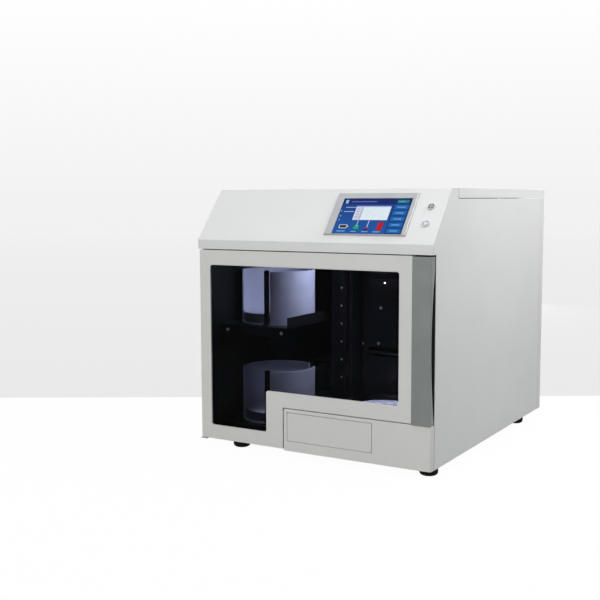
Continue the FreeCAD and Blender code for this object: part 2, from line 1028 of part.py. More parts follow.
carriage = block.fuse([plate, clamp])
save("lift_carriage", carriage)

motor_z = plate_z + bracket_thickness
swing_motor = box(
    pivot_x - swing_motor_width / 2,
    pivot_x + swing_motor_width / 2,
    pivot_d - swing_motor_width / 2,
    pivot_d + swing_motor_width / 2,
    motor_z,
    motor_z + swing_motor_height,
)
swing_motor = swing_motor.fuse(
    upright(pivot_x, pivot_d, face_z + gripper_height + 1.0, motor_z, swing_shaft_radius)
)
save("swing_motor", swing_motor)

arm_reach = math.hypot(tray_x - pivot_x, tray_d - pivot_d)
arm_turn = math.degrees(math.atan2(tray_d - pivot_d, tray_x - pivot_x))
arm_z = face_z + gripper_height
beam = Part.makeBox(
    arm_reach, arm_width, arm_thickness, FreeCAD.Vector(0, -arm_width / 2, 0)
)
tip = Part.makeCylinder(arm_width / 2, arm_thickness, FreeCAD.Vector(arm_reach, 0, 0))
hub = Part.makeCylinder(hub_radius, arm_thickness)
arm = beam.fuse([tip, hub]).cut(
    Part.makeCylinder(swing_shaft_radius + shaft_fit, arm_thickness + 2, FreeCAD.Vector(0, 0, -1))
)
arm.rotate(FreeCAD.Vector(0, 0, 0), FreeCAD.Vector(0, 0, 1), arm_turn)
arm.translate(vec(pivot_x, pivot_d, arm_z))
save("picker_arm", arm)

gripper = upright(tray_x, tray_d, face_z, arm_z, gripper_radius)
gripper = gripper.fuse(upright(tray_x, tray_d, face_z - collet_height, face_z, collet_radius))
gripper = gripper.cut(
    [upright(tray_x, tray_d, face_z - 20, arm_z - 4.0, plunger_radius + 0.4)]
    + [
        box(
            tray_x - (0.5 if turn == 0 else collet_radius),
            tray_x + (0.5 if turn == 0 else collet_radius),
            tray_d - (collet_radius if turn == 0 else 0.5),
            tray_d + (collet_radius if turn == 0 else 0.5),
            face_z - collet_height - 1,
            face_z - 0.5,
        )
        for turn in (0, 1)
    ]
)
save("gripper_head", gripper)

plunger_bottom = face_z - collet_height + 4.0
plunger_top = arm_z - 4.0 - plunger_travel - 0.3
plunger = upright(tray_x, tray_d, plunger_bottom, plunger_top, plunger_radius)
save("gripper_plunger", plunger)


# partition, drive cage and drives

upper_drive_z = lower_drive_z + drive_pitch
drive_left = tray_x - drive_width / 2
drive_right = tray_x + drive_width / 2
drive_front = partition_d
partition_right = inner - sheet
partition = box(partition_left, partition_right, partition_d, partition_d + sheet, floor_top, ceiling - 10.0)
partition = partition.cut(
    [
        box(
            drive_left - 0.5,
            drive_right + 0.5,
            partition_d - 1,
            partition_d + 5,
            lower_drive_z - 0.5,
            upper_drive_z + drive_height + 0.5,
        ),
        box(
            tray_x - printer_tray_width / 2 - 2,
            tray_x + printer_tray_width / 2 + 2,
            partition_d - 1,
            partition_d + 5,
            printer_tray_z - 3,
            printer_tray_z + tray_thickness + 6,
        ),
    ]
)
save("back_partition", partition)

cage_wall = 1.5
cage_foot = printer_top + 4.0
cage_back = drive_front + 154.0
cage_top = upper_drive_z + drive_height
cage = box(
    drive_left - cage_wall, drive_right + cage_wall, partition_d + sheet, cage_back, cage_foot, cage_top
)
cage = cage.cut(
    box(drive_left, drive_right, partition_d, cage_back + 1, cage_foot + cage_wall, cage_top + 1)
)
save("drive_cage", cage)


def drive_body(z):
    bezel_front = drive_front - bezel_depth
    body = box(drive_left, drive_right, bezel_front, drive_front + drive_depth, z, z + drive_height)
    room = box(
        tray_x - tray_width / 2 - 0.5,
        tray_x + tray_width / 2 + 0.5,
        drive_front - bezel_depth - 1,
        drive_front + 1,
        z + tray_rise - 0.5,
        z + tray_rise + tray_thickness + 6.0,
    )
    hollow = box(
        drive_left + drive_skin,
        drive_right - drive_skin,
        drive_front,
        drive_front + drive_depth - drive_skin,
        z + drive_skin,
        z + drive_height - drive_skin,
    )
    eject = box(
        eject_x - 5.3,
        eject_x + 5.3,
        drive_front - bezel_depth - 1,
        drive_front + 2.0,
        z + eject_rise - 2.3,
        z + eject_rise + 2.3,
    )
    return body.cut([room, hollow, eject])


def drive_tray(z):
    z0 = z + tray_rise
    front = drive_front - bezel_depth
    tray = box(
        tray_x - tray_width / 2, tray_x + tray_width / 2, front, front + tray_length, z0, z0 + tray_thickness
    )
    lip = box(
        tray_x - tray_width / 2 - 0.2,
        tray_x + tray_width / 2 + 0.2,
        front,
        front + tray_front,
        z0,
        z0 + tray_thickness + 5.0,
    )
    well_d = tray_d + tray_travel
    well = upright(tray_x, well_d, z0 + tray_thickness - 2.0, z0 + tray_thickness + 1, disc_radius + 1)
    spindle = box(
        tray_x - 20,
        tray_x + 20,
        well_d - 15,
        front + tray_length + 1,
        z0 - 1,
        z0 + tray_thickness + 1,
    )
    return tray.cut([well, spindle]).fuse(lip)


def eject_button(z):
    return box(
        eject_x - 5.0,
        eject_x + 5.0,
        drive_front - bezel_depth - 0.5,
        drive_front + 2.0 - eject_travel - 0.3,
        z + eject_rise - 2.0,
        z + eject_rise + 2.0,
    )


for name, z in (("lower", lower_drive_z), ("upper", upper_drive_z)):
    save(name + "_drive", drive_body(z))
    save(name + "_drive_tray", drive_tray(z))
    save(name + "_eject_button", eject_button(z))


# disc printer

printer_front = partition_d + sheet
chassis = box(printer_left, printer_right, printer_front, printer_back, printer_bottom, printer_top)
chassis = chassis.cut(
    [
        box(
            printer_left + 2,
            printer_right - 2,
            printer_front - 1,
            printer_back - 2,
            printer_bottom + 24,
            printer_top + 1,
        ),
    ]
)
rod_d = partition_d + 74.0
rod_z = 196.0
chassis = chassis.cut(across(rod_d, rod_z, printer_left - 1, printer_left + 2, rod_radius))
chassis = chassis.cut(across(rod_d, rod_z, printer_right - 2, printer_right + 1, rod_radius))
stand_width = 20.0
guide_width = 8.0
guide_x = [tray_x - printer_tray_width / 2, tray_x + printer_tray_width / 2 - guide_width]
stands = [
    box(x, x + stand_width, printer_front, printer_back, floor_top, printer_bottom)
    for x in (printer_left, printer_right - stand_width)
]
guides = [
    box(x, x + guide_width, printer_front, partition_d + 180, printer_bottom + 24, printer_tray_z - 0.4)
    for x in guide_x
]
chassis = chassis.fuse(stands + guides)
save("printer_frame", chassis)

save("print_rod", across(rod_d, rod_z, printer_left, printer_right, rod_radius))

carriage_left = printer_right - 5.0 - carriage_width
carriage_right = carriage_left + carriage_width
print_carriage = box(carriage_left, carriage_right, rod_d - 45, rod_d + 12, rod_z - 34, rod_z + 12)
print_carriage = print_carriage.cut(
    [
        across(rod_d, rod_z, carriage_left - 1, carriage_right + 1, rod_radius + rod_fit),
        box(carriage_left + 3, carriage_right - 3, rod_d - 42, rod_d - 9, rod_z - 28, rod_z + 20),
    ]
)
save("print_carriage", print_carriage)

cartridges = []
cartridge_width = 22.0
for i in range(2):
    x = carriage_left + 3.5 + i * (cartridge_width + 1.0)
    cartridges.append(box(x, x + cartridge_width, rod_d - 41.5, rod_d - 9.5, rod_z - 28, rod_z + 20))
save("ink_cartridges", Part.makeCompound(cartridges))

printer_tray = box(
    tray_x - printer_tray_width / 2,
    tray_x + printer_tray_width / 2,
    partition_d - 1.0,
    partition_d + 150.0,
    printer_tray_z,
    printer_tray_z + tray_thickness,
)
printer_tray = printer_tray.cut(
    upright(
        tray_x,
        tray_d + printer_travel,
        printer_tray_z + tray_thickness - 1.5,
        printer_tray_z + 20,
        disc_radius + 0.5,
    )
)
save("printer_tray", printer_tray)


# power, board, fan and lamp at the back

supply_room = 49.0
supply_left = -inner + 5.0
supply_right = left_side + 150.0
supply_back = body_depth - 45.0
supply_front = belt_d + motor_size / 2 + supply_room
supply_height = 66.0
supply_skin = 1.2
supply = box(supply_left, supply_right, supply_front, supply_back, floor_top, floor_top + supply_height)
supply = supply.cut(
    box(
        supply_left + supply_skin,
        supply_right - supply_skin,
        supply_front + supply_skin,
        supply_back - supply_skin,
        floor_top + supply_skin,
        floor_top + supply_height - supply_skin,
    )
)
supply_vents = [
    box(x, x + 4.0, supply_back - 3.0, supply_back + 1.0, floor_top + 14.0, floor_top + 52.0)
    for x in [supply_left + 20.0 + i * 9.0 for i in range(12)]
]
save("power_supply", supply.cut(supply_vents))

port_gap = 0.5
board_thickness = 1.6
board_z = port_z + port_gap - board_thickness
board_front = supply_front + 40.0
board = box(
    board_x - board_size / 2,
    board_x + board_size / 2,
    board_front,
    body_depth - 3.0,
    board_z,
    board_z + board_thickness,
)
port_count = 6
port_pitch = 21.0
ports = []
for i in range(port_count):
    x = board_x - (port_count - 1) * port_pitch / 2 + i * port_pitch
    port_floor = board_z + board_thickness
    ports.append(box(x - 7.5, x + 7.5, body_depth - 24.0, body_depth - 0.5, port_floor, port_floor + 15.0))
board = board.fuse(ports)
legs = [
    box(x - 3, x + 3, d - 3, d + 3, floor_top + supply_height, board_z)
    for x in (board_x - board_size / 2 + 6, board_x + board_size / 2 - 6)
    for d in (board_front + 6.0, supply_back - 10.0)
]
board = board.fuse(legs)
save("main_board", board)

fan_back = body_depth - sheet
fan_front = fan_back - fan_depth
fan_left = fan_x - fan_width / 2
fan_right = fan_x + fan_width / 2
fan_bottom = fan_z - fan_width / 2
fan_top = fan_z + fan_width / 2
spoke_depth = 3.0
spoke_half = 2.0
rotor_gap = 1.0
spindle_end = fan_back - 6.0
fan = box(fan_left, fan_right, fan_front, fan_back, fan_bottom, fan_top)
fan = fan.cut(along_depth(fan_x, fan_z, fan_front - 1, fan_back + 1, fan_width / 2 - 2.5))
fan = fan.fuse(
    [
        along_depth(fan_x, fan_z, fan_front, fan_front + spoke_depth, fan_hub),
        box(fan_left, fan_right, fan_front, fan_front + spoke_depth, fan_z - spoke_half, fan_z + spoke_half),
        box(fan_x - spoke_half, fan_x + spoke_half, fan_front, fan_front + spoke_depth, fan_bottom, fan_top),
        along_depth(fan_x, fan_z, fan_front + spoke_depth, spindle_end, shaft_radius),
    ]
)
save("rear_fan", fan)

rotor = along_depth(fan_x, fan_z, fan_front + spoke_depth + rotor_gap, fan_back - 4, fan_hub)
blade_tip = fan_width / 2 - 4.0
blade_thickness = 1.6
blade_chord = 12.0
blade_pitch = 35.0
for i in range(blade_count):
    blade = Part.makeBox(
        blade_tip - fan_hub + 2,
        blade_thickness,
        blade_chord,
        FreeCAD.Vector(fan_hub - 2, -blade_thickness / 2, -blade_chord / 2),
    )
    blade.rotate(FreeCAD.Vector(0, 0, 0), FreeCAD.Vector(1, 0, 0), 90 + blade_pitch)
    blade.rotate(FreeCAD.Vector(0, 0, 0), FreeCAD.Vector(0, 1, 0), 360.0 / blade_count * i)
    blade.translate(vec(fan_x, fan_front + fan_depth / 2, fan_z))
    rotor = rotor.fuse(blade)
rotor = rotor.cut(along_depth(fan_x, fan_z, fan_front, spindle_end + 0.5, shaft_radius + shaft_fit))
save("fan_rotor", rotor)

inlet = box(
    inlet_x - inlet_width / 2 + 0.3,
    inlet_x + inlet_width / 2 - 0.3,
    body_depth - 30.0,
    body_depth,
    inlet_z - inlet_height / 2 + 0.3,
    inlet_z + inlet_height / 2 - 0.3,
)
socket_x = inlet_x - 9.0
socket_depth = 18.0
rocker_x = inlet_x + 16.0
inlet = inlet.cut(
    [
        box(socket_x - 12, socket_x + 12, body_depth - socket_depth, body_depth + 1, inlet_z - 8, inlet_z + 8),
        box(
            rocker_x - rocker_width / 2 - 0.4,
            rocker_x + rocker_width / 2 + 0.4,
            body_depth - 14.0,
            body_depth + 1,
            inlet_z - rocker_height / 2 - 1.5,
            inlet_z + rocker_height / 2 + 1.5,
        ),
    ]
)
contact_pitch = 7.0
contacts = [
    box(x - 1, x + 1, body_depth - socket_depth, body_depth - 4.0, inlet_z - 2, inlet_z + 2)
    for x in (socket_x - contact_pitch, socket_x, socket_x + contact_pitch)
]
rocker_d = body_depth - 7.0
rocker_pin_radius = 1.5
rocker_pin_reach = rocker_width / 2 + 0.4
rocker_pin = across(
    rocker_d, inlet_z, rocker_x - rocker_pin_reach, rocker_x + rocker_pin_reach, rocker_pin_radius
)
inlet = inlet.fuse(contacts + [rocker_pin])
save("power_inlet", inlet)

rocker = across(rocker_d, inlet_z, rocker_x - rocker_width / 2, rocker_x + rocker_width / 2, 4.0)
rocker = rocker.fuse(
    side_plate(
        [
            (rocker_d, inlet_z - rocker_height / 2 + 2.5),
            (rocker_d, inlet_z + rocker_height / 2 - 2.5),
            (body_depth - 1.5, inlet_z + rocker_height / 2 - 0.5),
            (body_depth - 3.5, inlet_z),
            (body_depth - 1.5, inlet_z - rocker_height / 2 + 0.5),
        ],
        rocker_x - rocker_width / 2,
        rocker_x + rocker_width / 2,
    )
)
rocker = rocker.cut(
    across(rocker_d, inlet_z, rocker_x - rocker_width, rocker_x + rocker_width, rocker_pin_radius + shaft_fit)
)
rocker.rotate(vec(rocker_x, rocker_d, inlet_z), FreeCAD.Vector(1, 0, 0), -rocker_tilt)
save("power_rocker", rocker)

lamp = box(-170.0, 120.0, door_depth + sheet, door_depth + sheet + 12.0, opening_top + 14.0, opening_top + 20.0)
save("lamp_bar", lamp)


# visible screws

screws = []


def screw_front(x, d, z):
    screws.append(along_depth(x, z, d - screw_head, d, screw_radius))


rail_face = column_front - rail_depth
for i in range(6):
    z = rail_bottom + i * rail_pitch + 0.4
    screws.append(along_depth(pivot_x, z, rail_face - 1.0, rail_face, 1.8))
partition_screws = [(-9.0, 217.0), (-13.0, 152.0), (165.0, 217.0)]
rear_screw_heights = [40.0, 220.0, height - 29.0]
for x, z in partition_screws:
    screw_front(x, partition_d, z)
for x in (stacker_x + 54.0, stacker_x - 54.0):
    screw_front(x, shelf_front, upper_base - shelf_drop / 2 - 1)
for x in (-half + 12, half - 12):
    for z in rear_screw_heights:
        screws.append(along_depth(x, z, body_depth, body_depth + screw_head, screw_radius))
save("screws", Part.makeCompound(screws))

print("arm turns", round(arm_turn, 2), "reach", round(arm_reach, 2))
print("parts written", len(os.listdir("parts")))
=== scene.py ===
import json
import math

import bmesh
import bpy
import numpy as np
from mathutils import Matrix, Vector


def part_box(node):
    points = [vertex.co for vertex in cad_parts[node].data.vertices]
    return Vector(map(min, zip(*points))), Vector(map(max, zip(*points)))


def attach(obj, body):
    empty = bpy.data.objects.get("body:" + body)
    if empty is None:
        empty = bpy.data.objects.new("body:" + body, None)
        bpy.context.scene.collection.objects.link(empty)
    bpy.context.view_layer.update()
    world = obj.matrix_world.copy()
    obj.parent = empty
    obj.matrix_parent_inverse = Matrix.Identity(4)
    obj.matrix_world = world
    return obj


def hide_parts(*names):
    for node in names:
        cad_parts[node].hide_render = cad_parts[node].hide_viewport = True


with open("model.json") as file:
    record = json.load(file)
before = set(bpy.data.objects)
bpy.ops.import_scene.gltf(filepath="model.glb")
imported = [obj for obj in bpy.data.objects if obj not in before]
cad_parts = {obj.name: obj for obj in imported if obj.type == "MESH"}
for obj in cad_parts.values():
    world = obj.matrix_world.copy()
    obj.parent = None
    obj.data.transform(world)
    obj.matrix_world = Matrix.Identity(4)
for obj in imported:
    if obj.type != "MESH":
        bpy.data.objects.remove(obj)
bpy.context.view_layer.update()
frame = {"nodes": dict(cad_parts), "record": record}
print("frame loaded:", len(frame["nodes"]), "nodes")

mm = 0.001
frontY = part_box("lower_front_panel")[0][1]  # the door's front face, where depths are counted from
srgbCurve = {"knee": 0.04045, "slope": 12.92, "offset": 0.055, "power": 2.4}


# millimetres across, back from the door's face and up, as a point in metres
def at(x, d, z):
    return np.array([x * mm, frontY + d * mm, z * mm])


def linear(hexCode):
    parts = np.array([int(hexCode[i:i + 2], 16) / 255 for i in (0, 2, 4)])
    bent = ((parts + srgbCurve["offset"]) / (1 + srgbCurve["offset"])) ** srgbCurve["power"]
    return np.where(parts <= srgbCurve["knee"], parts / srgbCurve["slope"], bent).tolist() + [1.0]


# adds a node: settings name its properties or its input sockets, links feed its sockets
def addNode(tree, kind, settings=None, links=None):
    node = tree.nodes.new(kind)
    for key, value in (settings or {}).items():
        if isinstance(key, str) and hasattr(node, key):
            setattr(node, key, value)
        else:
            node.inputs[key].default_value = value
    for key, source in (links or {}).items():
        tree.links.new(source, node.inputs[key])
    return node


def newMaterial(name):
    material = bpy.data.materials.new(name)
    material.use_nodes = True
    tree = material.node_tree
    tree.nodes.clear()
    output = addNode(tree, "ShaderNodeOutputMaterial")
    shader = addNode(tree, "ShaderNodeBsdfPrincipled")
    tree.links.new(shader.outputs[0], output.inputs["Surface"])
    place = addNode(tree, "ShaderNodeTexCoord").outputs["Object"]
    return material, tree, shader, place


# a noise scale for features of this many millimetres, on coordinates in metres
def perMm(size):
    return 1 / (size * mm)


rampEnds = (0.3, 0.7)  # noise mostly stays in this span
detail = {"tone": 3.0, "relief": 2.0, "wear": 4.0}  # layers of ever finer noise
mix = {"first": 6, "second": 7, "result": 2}  # the colour sockets of a Mix node


# a colour that drifts between two tones over patches of a real size
def tone(tree, place, size, low, high, stretch=(1, 1, 1)):
    scaled = addNode(tree, "ShaderNodeMapping", {"Scale": stretch}, {"Vector": place})
    noise = addNode(
        tree, "ShaderNodeTexNoise", {"Scale": perMm(size), "Detail": detail["tone"]},
        {"Vector": scaled.outputs[0]},
    )
    ramp = addNode(tree, "ShaderNodeValToRGB", {}, {0: noise.outputs[0]})
    for element, position, colour in zip(ramp.color_ramp.elements, rampEnds, (low, high)):
        element.position = position
        element.color = linear(colour)
    return ramp.outputs[0]


# a relief of this grain and depth, both in millimetres, on the shader's normal
def relief(tree, place, shader, grain, depth, strength):
    fine = addNode(
        tree, "ShaderNodeTexNoise", {"Scale": perMm(grain), "Detail": detail["relief"]}, {"Vector": place},
    )
    bump = addNode(
        tree, "ShaderNodeBump", {"Strength": strength, "Distance": depth * mm}, {"Height": fine.outputs[0]},
    )
    tree.links.new(bump.outputs[0], shader.inputs["Normal"])


wear = {"patchShare": 0.7, "spread": 0.08, "strength": 0.6}


# a finish from two tones, a roughness that varies, and a fine relief of a real grain size
def surface(name, low, high, patch, roughness, grain, depth, metallic=0.0, stretch=(1, 1, 1)):
    material, tree, shader, place = newMaterial(name)
    tree.links.new(tone(tree, place, patch, low, high, stretch), shader.inputs["Base Color"])
    scaled = addNode(tree, "ShaderNodeMapping", {"Scale": stretch}, {"Vector": place})
    relief(tree, scaled.outputs[0], shader, grain, depth, wear["strength"])
    scale = perMm(patch * wear["patchShare"])
    worn = addNode(
        tree, "ShaderNodeTexNoise", {"Scale": scale, "Detail": detail["wear"]}, {"Vector": place},
    )
    limits = {"To Min": roughness - wear["spread"], "To Max": roughness + wear["spread"]}
    span = addNode(tree, "ShaderNodeMapRange", limits, {"Value": worn.outputs[0]})
    tree.links.new(span.outputs[0], shader.inputs["Roughness"])
    shader.inputs["Metallic"].default_value = metallic
    return material


# satin powder coat on steel: an even pale grey with a slight orange peel that softens highlights
cabinetPaint = surface("powder coated steel", "D9DAD9", "DDDEDD", 90, 0.46, 1.4, 0.03)

beyond = 1.0  # metres from the middle, past every face
linedPaint = {
    "inside": "0C0D11", "insidePatch": 40, "patch": 90, "grain": 1.4, "depth": 0.03, "strength": 0.6,
    "roughness": 0.46,
}


# powder coat on the faces past any limit in metres, across, to the back or to the front, and black within
def lined(name, low, high, sideLimit=beyond, backLimit=beyond, frontLimit=-beyond):
    material, tree, shader, place = newMaterial(name)
    parts = addNode(tree, "ShaderNodeSeparateXYZ", {}, {0: place}).outputs
    reach = addNode(tree, "ShaderNodeMath", {"operation": "ABSOLUTE"}, {0: parts["X"]}).outputs[0]
    beside = addNode(tree, "ShaderNodeMath", {"operation": "GREATER_THAN", 1: sideLimit}, {0: reach})
    behind = addNode(tree, "ShaderNodeMath", {"operation": "GREATER_THAN", 1: backLimit}, {0: parts["Y"]})
    before = addNode(tree, "ShaderNodeMath", {"operation": "LESS_THAN", 1: frontLimit}, {0: parts["Y"]})
    pair = {0: before.outputs[0], 1: behind.outputs[0]}
    ends = addNode(tree, "ShaderNodeMath", {"operation": "MAXIMUM"}, pair)
    pair = {0: beside.outputs[0], 1: ends.outputs[0]}
    outer = addNode(tree, "ShaderNodeMath", {"operation": "MAXIMUM"}, pair)
    colour = addNode(tree, "ShaderNodeMix", {"data_type": "RGBA"}, {0: outer.outputs[0]})
    inside = linedPaint["inside"]
    tree.links.new(tone(tree, place, linedPaint["insidePatch"], inside, inside), colour.inputs[mix["first"]])
    tree.links.new(tone(tree, place, linedPaint["patch"], low, high), colour.inputs[mix["second"]])
    tree.links.new(colour.outputs[mix["result"]], shader.inputs["Base Color"])
    relief(tree, place, shader, linedPaint["grain"], linedPaint["depth"], linedPaint["strength"])
    shader.inputs["Roughness"].default_value = linedPaint["roughness"]
    return material


# the same coat on the side and rear sheets, whose inner faces are black
sheetPaint = lined("powder coated outer sheet", "D9DAD9", "DDDEDD", sideLimit=0.2092, backLimit=0.2595)
# the base pan is black but for the small hinge ear under the door, which is coated like the front
panPaint = lined("powder coated base pan", "C4C5C3", "C9CAC8", frontLimit=-0.2535)

driveLook = {
    "bezelDepth": 276.1, "bezel": ("131418", "1A1B20"), "bezelPatch": 20, "case": ("8F9499", "A8ACB0"),
    "casePatch": 14, "grain": 0.8, "depth": 0.02, "strength": 0.5, "roughness": 0.4,
}


# zinc plated case behind a black moulded bezel, parted where the bezel ends
def driveCase(name):
    material, tree, shader, place = newMaterial(name)
    parts = addNode(tree, "ShaderNodeSeparateXYZ", {}, {0: place})
    end = frontY + driveLook["bezelDepth"] * mm
    behind = addNode(tree, "ShaderNodeMath", {"operation": "GREATER_THAN", 1: end}, {0: parts.outputs["Y"]})
    colour = addNode(tree, "ShaderNodeMix", {"data_type": "RGBA"}, {0: behind.outputs[0]})
    bezel = tone(tree, place, driveLook["bezelPatch"], *driveLook["bezel"])
    case = tone(tree, place, driveLook["casePatch"], *driveLook["case"])
    tree.links.new(bezel, colour.inputs[mix["first"]])
    tree.links.new(case, colour.inputs[mix["second"]])
    tree.links.new(colour.outputs[mix["result"]], shader.inputs["Base Color"])
    tree.links.new(behind.outputs[0], shader.inputs["Metallic"])
    relief(tree, place, shader, driveLook["grain"], driveLook["depth"], driveLook["strength"])
    shader.inputs["Roughness"].default_value = driveLook["roughness"]
    return material


driveFinish = driveCase("drive case with black bezel")
# moulded ABS: a touch warmer and finer, with a spark-eroded grain
mouldedAbs = surface("moulded grey ABS", "D4D4D0", "D8D8D5", 60, 0.42, 0.7, 0.02)
# silver lacquer over plastic: metal flakes break the reflection up
silverLacquer = surface("silver lacquered moulding", "A2A5A7", "ABAEB0", 30, 0.42, 0.5, 0.01, metallic=0.15)
# metallic grey moulding of the door's pull: a soft sheen with a hint of flake
pullGrey = surface("metallic grey moulding", "757A78", "7D8280", 40, 0.42, 0.6, 0.015, metallic=0.15)
# black powder coat inside: nearly black, with a broad soft sheen
blackSteel = surface("black powder coated steel", "0A0B0F", "101118", 50, 0.55, 0.7, 0.008)
# moulded black plastic with a fine texture
blackPlastic = surface("textured black plastic", "161618", "1F1F22", 30, 0.5, 0.5, 0.02)
# zinc plated sheet: faint blue-grey clouds
zincSheet = surface("zinc plated sheet", "8F9499", "A8ACB0", 14, 0.36, 1.2, 0.01, metallic=1.0)
# ground steel: streaks along its length
streaks = (1, 1, 0.05)
groundSteel = surface("ground steel", "AEB2B8", "CBCED3", 4, 0.24, 0.4, 0.004, metallic=1.0, stretch=streaks)
# cast and machined aluminium: a dull even metal
castAluminium = surface("machined aluminium", "84878C", "96999E", 6, 0.34, 0.5, 0.01, metallic=1.0)
# moulded rubber: black, with almost no shine
rubberShine = 0.12
mouldedRubber = surface("moulded rubber", "070707", "0E0E0E", 12, 0.8, 0.8, 0.03)
mouldedRubber.node_tree.nodes["Principled BSDF"].inputs["Specular IOR Level"].default_value = rubberShine
# belt rubber with a cloth face: dull, and finely woven
beltRubber = surface("toothed belt rubber", "141416", "202023", 5, 0.7, 0.4, 0.02)
# dark cartridge shells: a plain moulded plastic, a little smoother
cartridgeShell = surface("cartridge plastic", "25272B", "303238", 20, 0.4, 0.6, 0.02)
# fibreglass board under black solder mask: a faint green, glossy, uneven over the copper
solderMask = surface("black solder mask", "0D1512", "15211C", 2, 0.3, 1.5, 0.03)
# nickel on screws and wire: bright, with fine wear
brightScrew = surface("bright nickel screw", "DADCE2", "F0F1F6", 3, 0.42, 0.6, 0.01, metallic=1.0)
plainWire = surface("nickel plated wire", "9EA1A6", "B6B9BE", 6, 0.28, 0.5, 0.004, metallic=1.0)
# nylon, and the strip of painted shadow in the lower panel's joint: black, one a little shiny and the other
# dead matt
socketDark = surface("socket black nylon", "0A0A0B", "131315", 5, 0.5, 0.4, 0.01)
seamShadowBlack = surface("black painted seam shadow", "0A0A0B", "121213", 3, 0.8, 0.5, 0.02)
# pad printing: a thin, flat ink
darkPrint = surface("dark grey pad print", "4A4C50", "56585C", 3, 0.5, 0.4, 0.005)
violetPrint = surface("violet blue pad print", "6E74B0", "7A80BC", 3, 0.5, 0.4, 0.005)

pane = {
    "name": "smoked cast acrylic", "tint": "8A8C96", "least": 0.006, "most": 0.015, "ior": 1.09, "smear": 45,
}


# smoked sheet: clear and tinted, with faint smears on its polish. Cast acrylic is near 1.49, and the low
# value stands for the dim room that the photo's pane mirrors, which the white studio would outshine.
def acrylic():
    material, tree, shader, place = newMaterial(pane["name"])
    smear = addNode(
        tree, "ShaderNodeTexNoise", {"Scale": perMm(pane["smear"]), "Detail": detail["tone"]},
        {"Vector": place},
    )
    limits = {"To Min": pane["least"], "To Max": pane["most"]}
    span = addNode(tree, "ShaderNodeMapRange", limits, {"Value": smear.outputs[0]})
    tree.links.new(span.outputs[0], shader.inputs["Roughness"])
    shader.inputs["Base Color"].default_value = linear(pane["tint"])
    shader.inputs["Transmission Weight"].default_value = 1.0
    shader.inputs["IOR"].default_value = pane["ior"]
    return material


smokedAcrylic = acrylic()

cup = {
    "name": "frosted lilac plastic", "tones": ("CBCCDC", "D6D7E6"), "patch": 25, "grain": 0.8, "depth": 0.02,
    "strength": 0.5, "roughness": 0.38, "subsurface": 0.35, "radius": (0.006, 0.006, 0.008),
}


# frosted plastic: light sinks in and glows through, so the cups look lilac-white
def frosted():
    material, tree, shader, place = newMaterial(cup["name"])
    tree.links.new(tone(tree, place, cup["patch"], *cup["tones"]), shader.inputs["Base Color"])
    relief(tree, place, shader, cup["grain"], cup["depth"], cup["strength"])
    shader.inputs["Roughness"].default_value = cup["roughness"]
    shader.inputs["Subsurface Weight"].default_value = cup["subsurface"]
    shader.inputs["Subsurface Radius"].default_value = cup["radius"]
    return material


cupPlastic = frosted()

# the edge tones are painted shade: the near-black that the stack's sides take in shadow
discLook = {
    "edge": ("15161C", "20222B"), "shadedEdgePatch": 9, "facePatch": 18, "upright": 0.6, "grain": 1.2,
    "depth": 0.01, "strength": 0.3, "roughness": 0.28, "coat": 0.4, "coatRoughness": 0.1,
}


# polycarbonate discs: pale printed faces where the surface turns upward, and near-black sides and undersides,
# which are painted shade for the shadowed edges of the stack
def discSurface(name, low, high):
    material, tree, shader, place = newMaterial(name)
    normal = addNode(tree, "ShaderNodeNewGeometry").outputs["Normal"]
    upright = addNode(tree, "ShaderNodeSeparateXYZ", {}, {0: normal})
    limit = {"operation": "GREATER_THAN", 1: discLook["upright"]}
    flat = addNode(tree, "ShaderNodeMath", limit, {0: upright.outputs["Z"]})
    colour = addNode(tree, "ShaderNodeMix", {"data_type": "RGBA"}, {0: flat.outputs[0]})
    # painted shade on every face not turned upward, so the sides and undersides go dark
    edge = tone(tree, place, discLook["shadedEdgePatch"], *discLook["edge"])
    tree.links.new(edge, colour.inputs[mix["first"]])
    tree.links.new(tone(tree, place, discLook["facePatch"], low, high), colour.inputs[mix["second"]])
    tree.links.new(colour.outputs[mix["result"]], shader.inputs["Base Color"])
    relief(tree, place, shader, discLook["grain"], discLook["depth"], discLook["strength"])
    shader.inputs["Roughness"].default_value = discLook["roughness"]
    shader.inputs["Coat Weight"].default_value = discLook["coat"]
    shader.inputs["Coat Roughness"].default_value = discLook["coatRoughness"]
    return material


discPlastic = discSurface("disc polycarbonate", "D0D2E2", "E2E4F0")
printedDisc = discSurface("white printable disc", "F4F4FC", "FBFBFF")

glowPatch = 8
glowRoughness = 0.5


# a diffuser that gives off an even light of its own
def glowing(name, colour, strength):
    material, tree, shader, place = newMaterial(name)
    tree.links.new(tone(tree, place, glowPatch, colour, colour), shader.inputs["Base Color"])
    shader.inputs["Roughness"].default_value = glowRoughness
    shader.inputs["Emission Color"].default_value = linear(colour)
    shader.inputs["Emission Strength"].default_value = strength
    return material


lampDiffuser = glowing("lamp diffuser", "D8DAFF", 0.12)
readyLamp = glowing("ready indicator lamp", "EAF3FF", 60.0)
print("materials made:", len(bpy.data.materials))

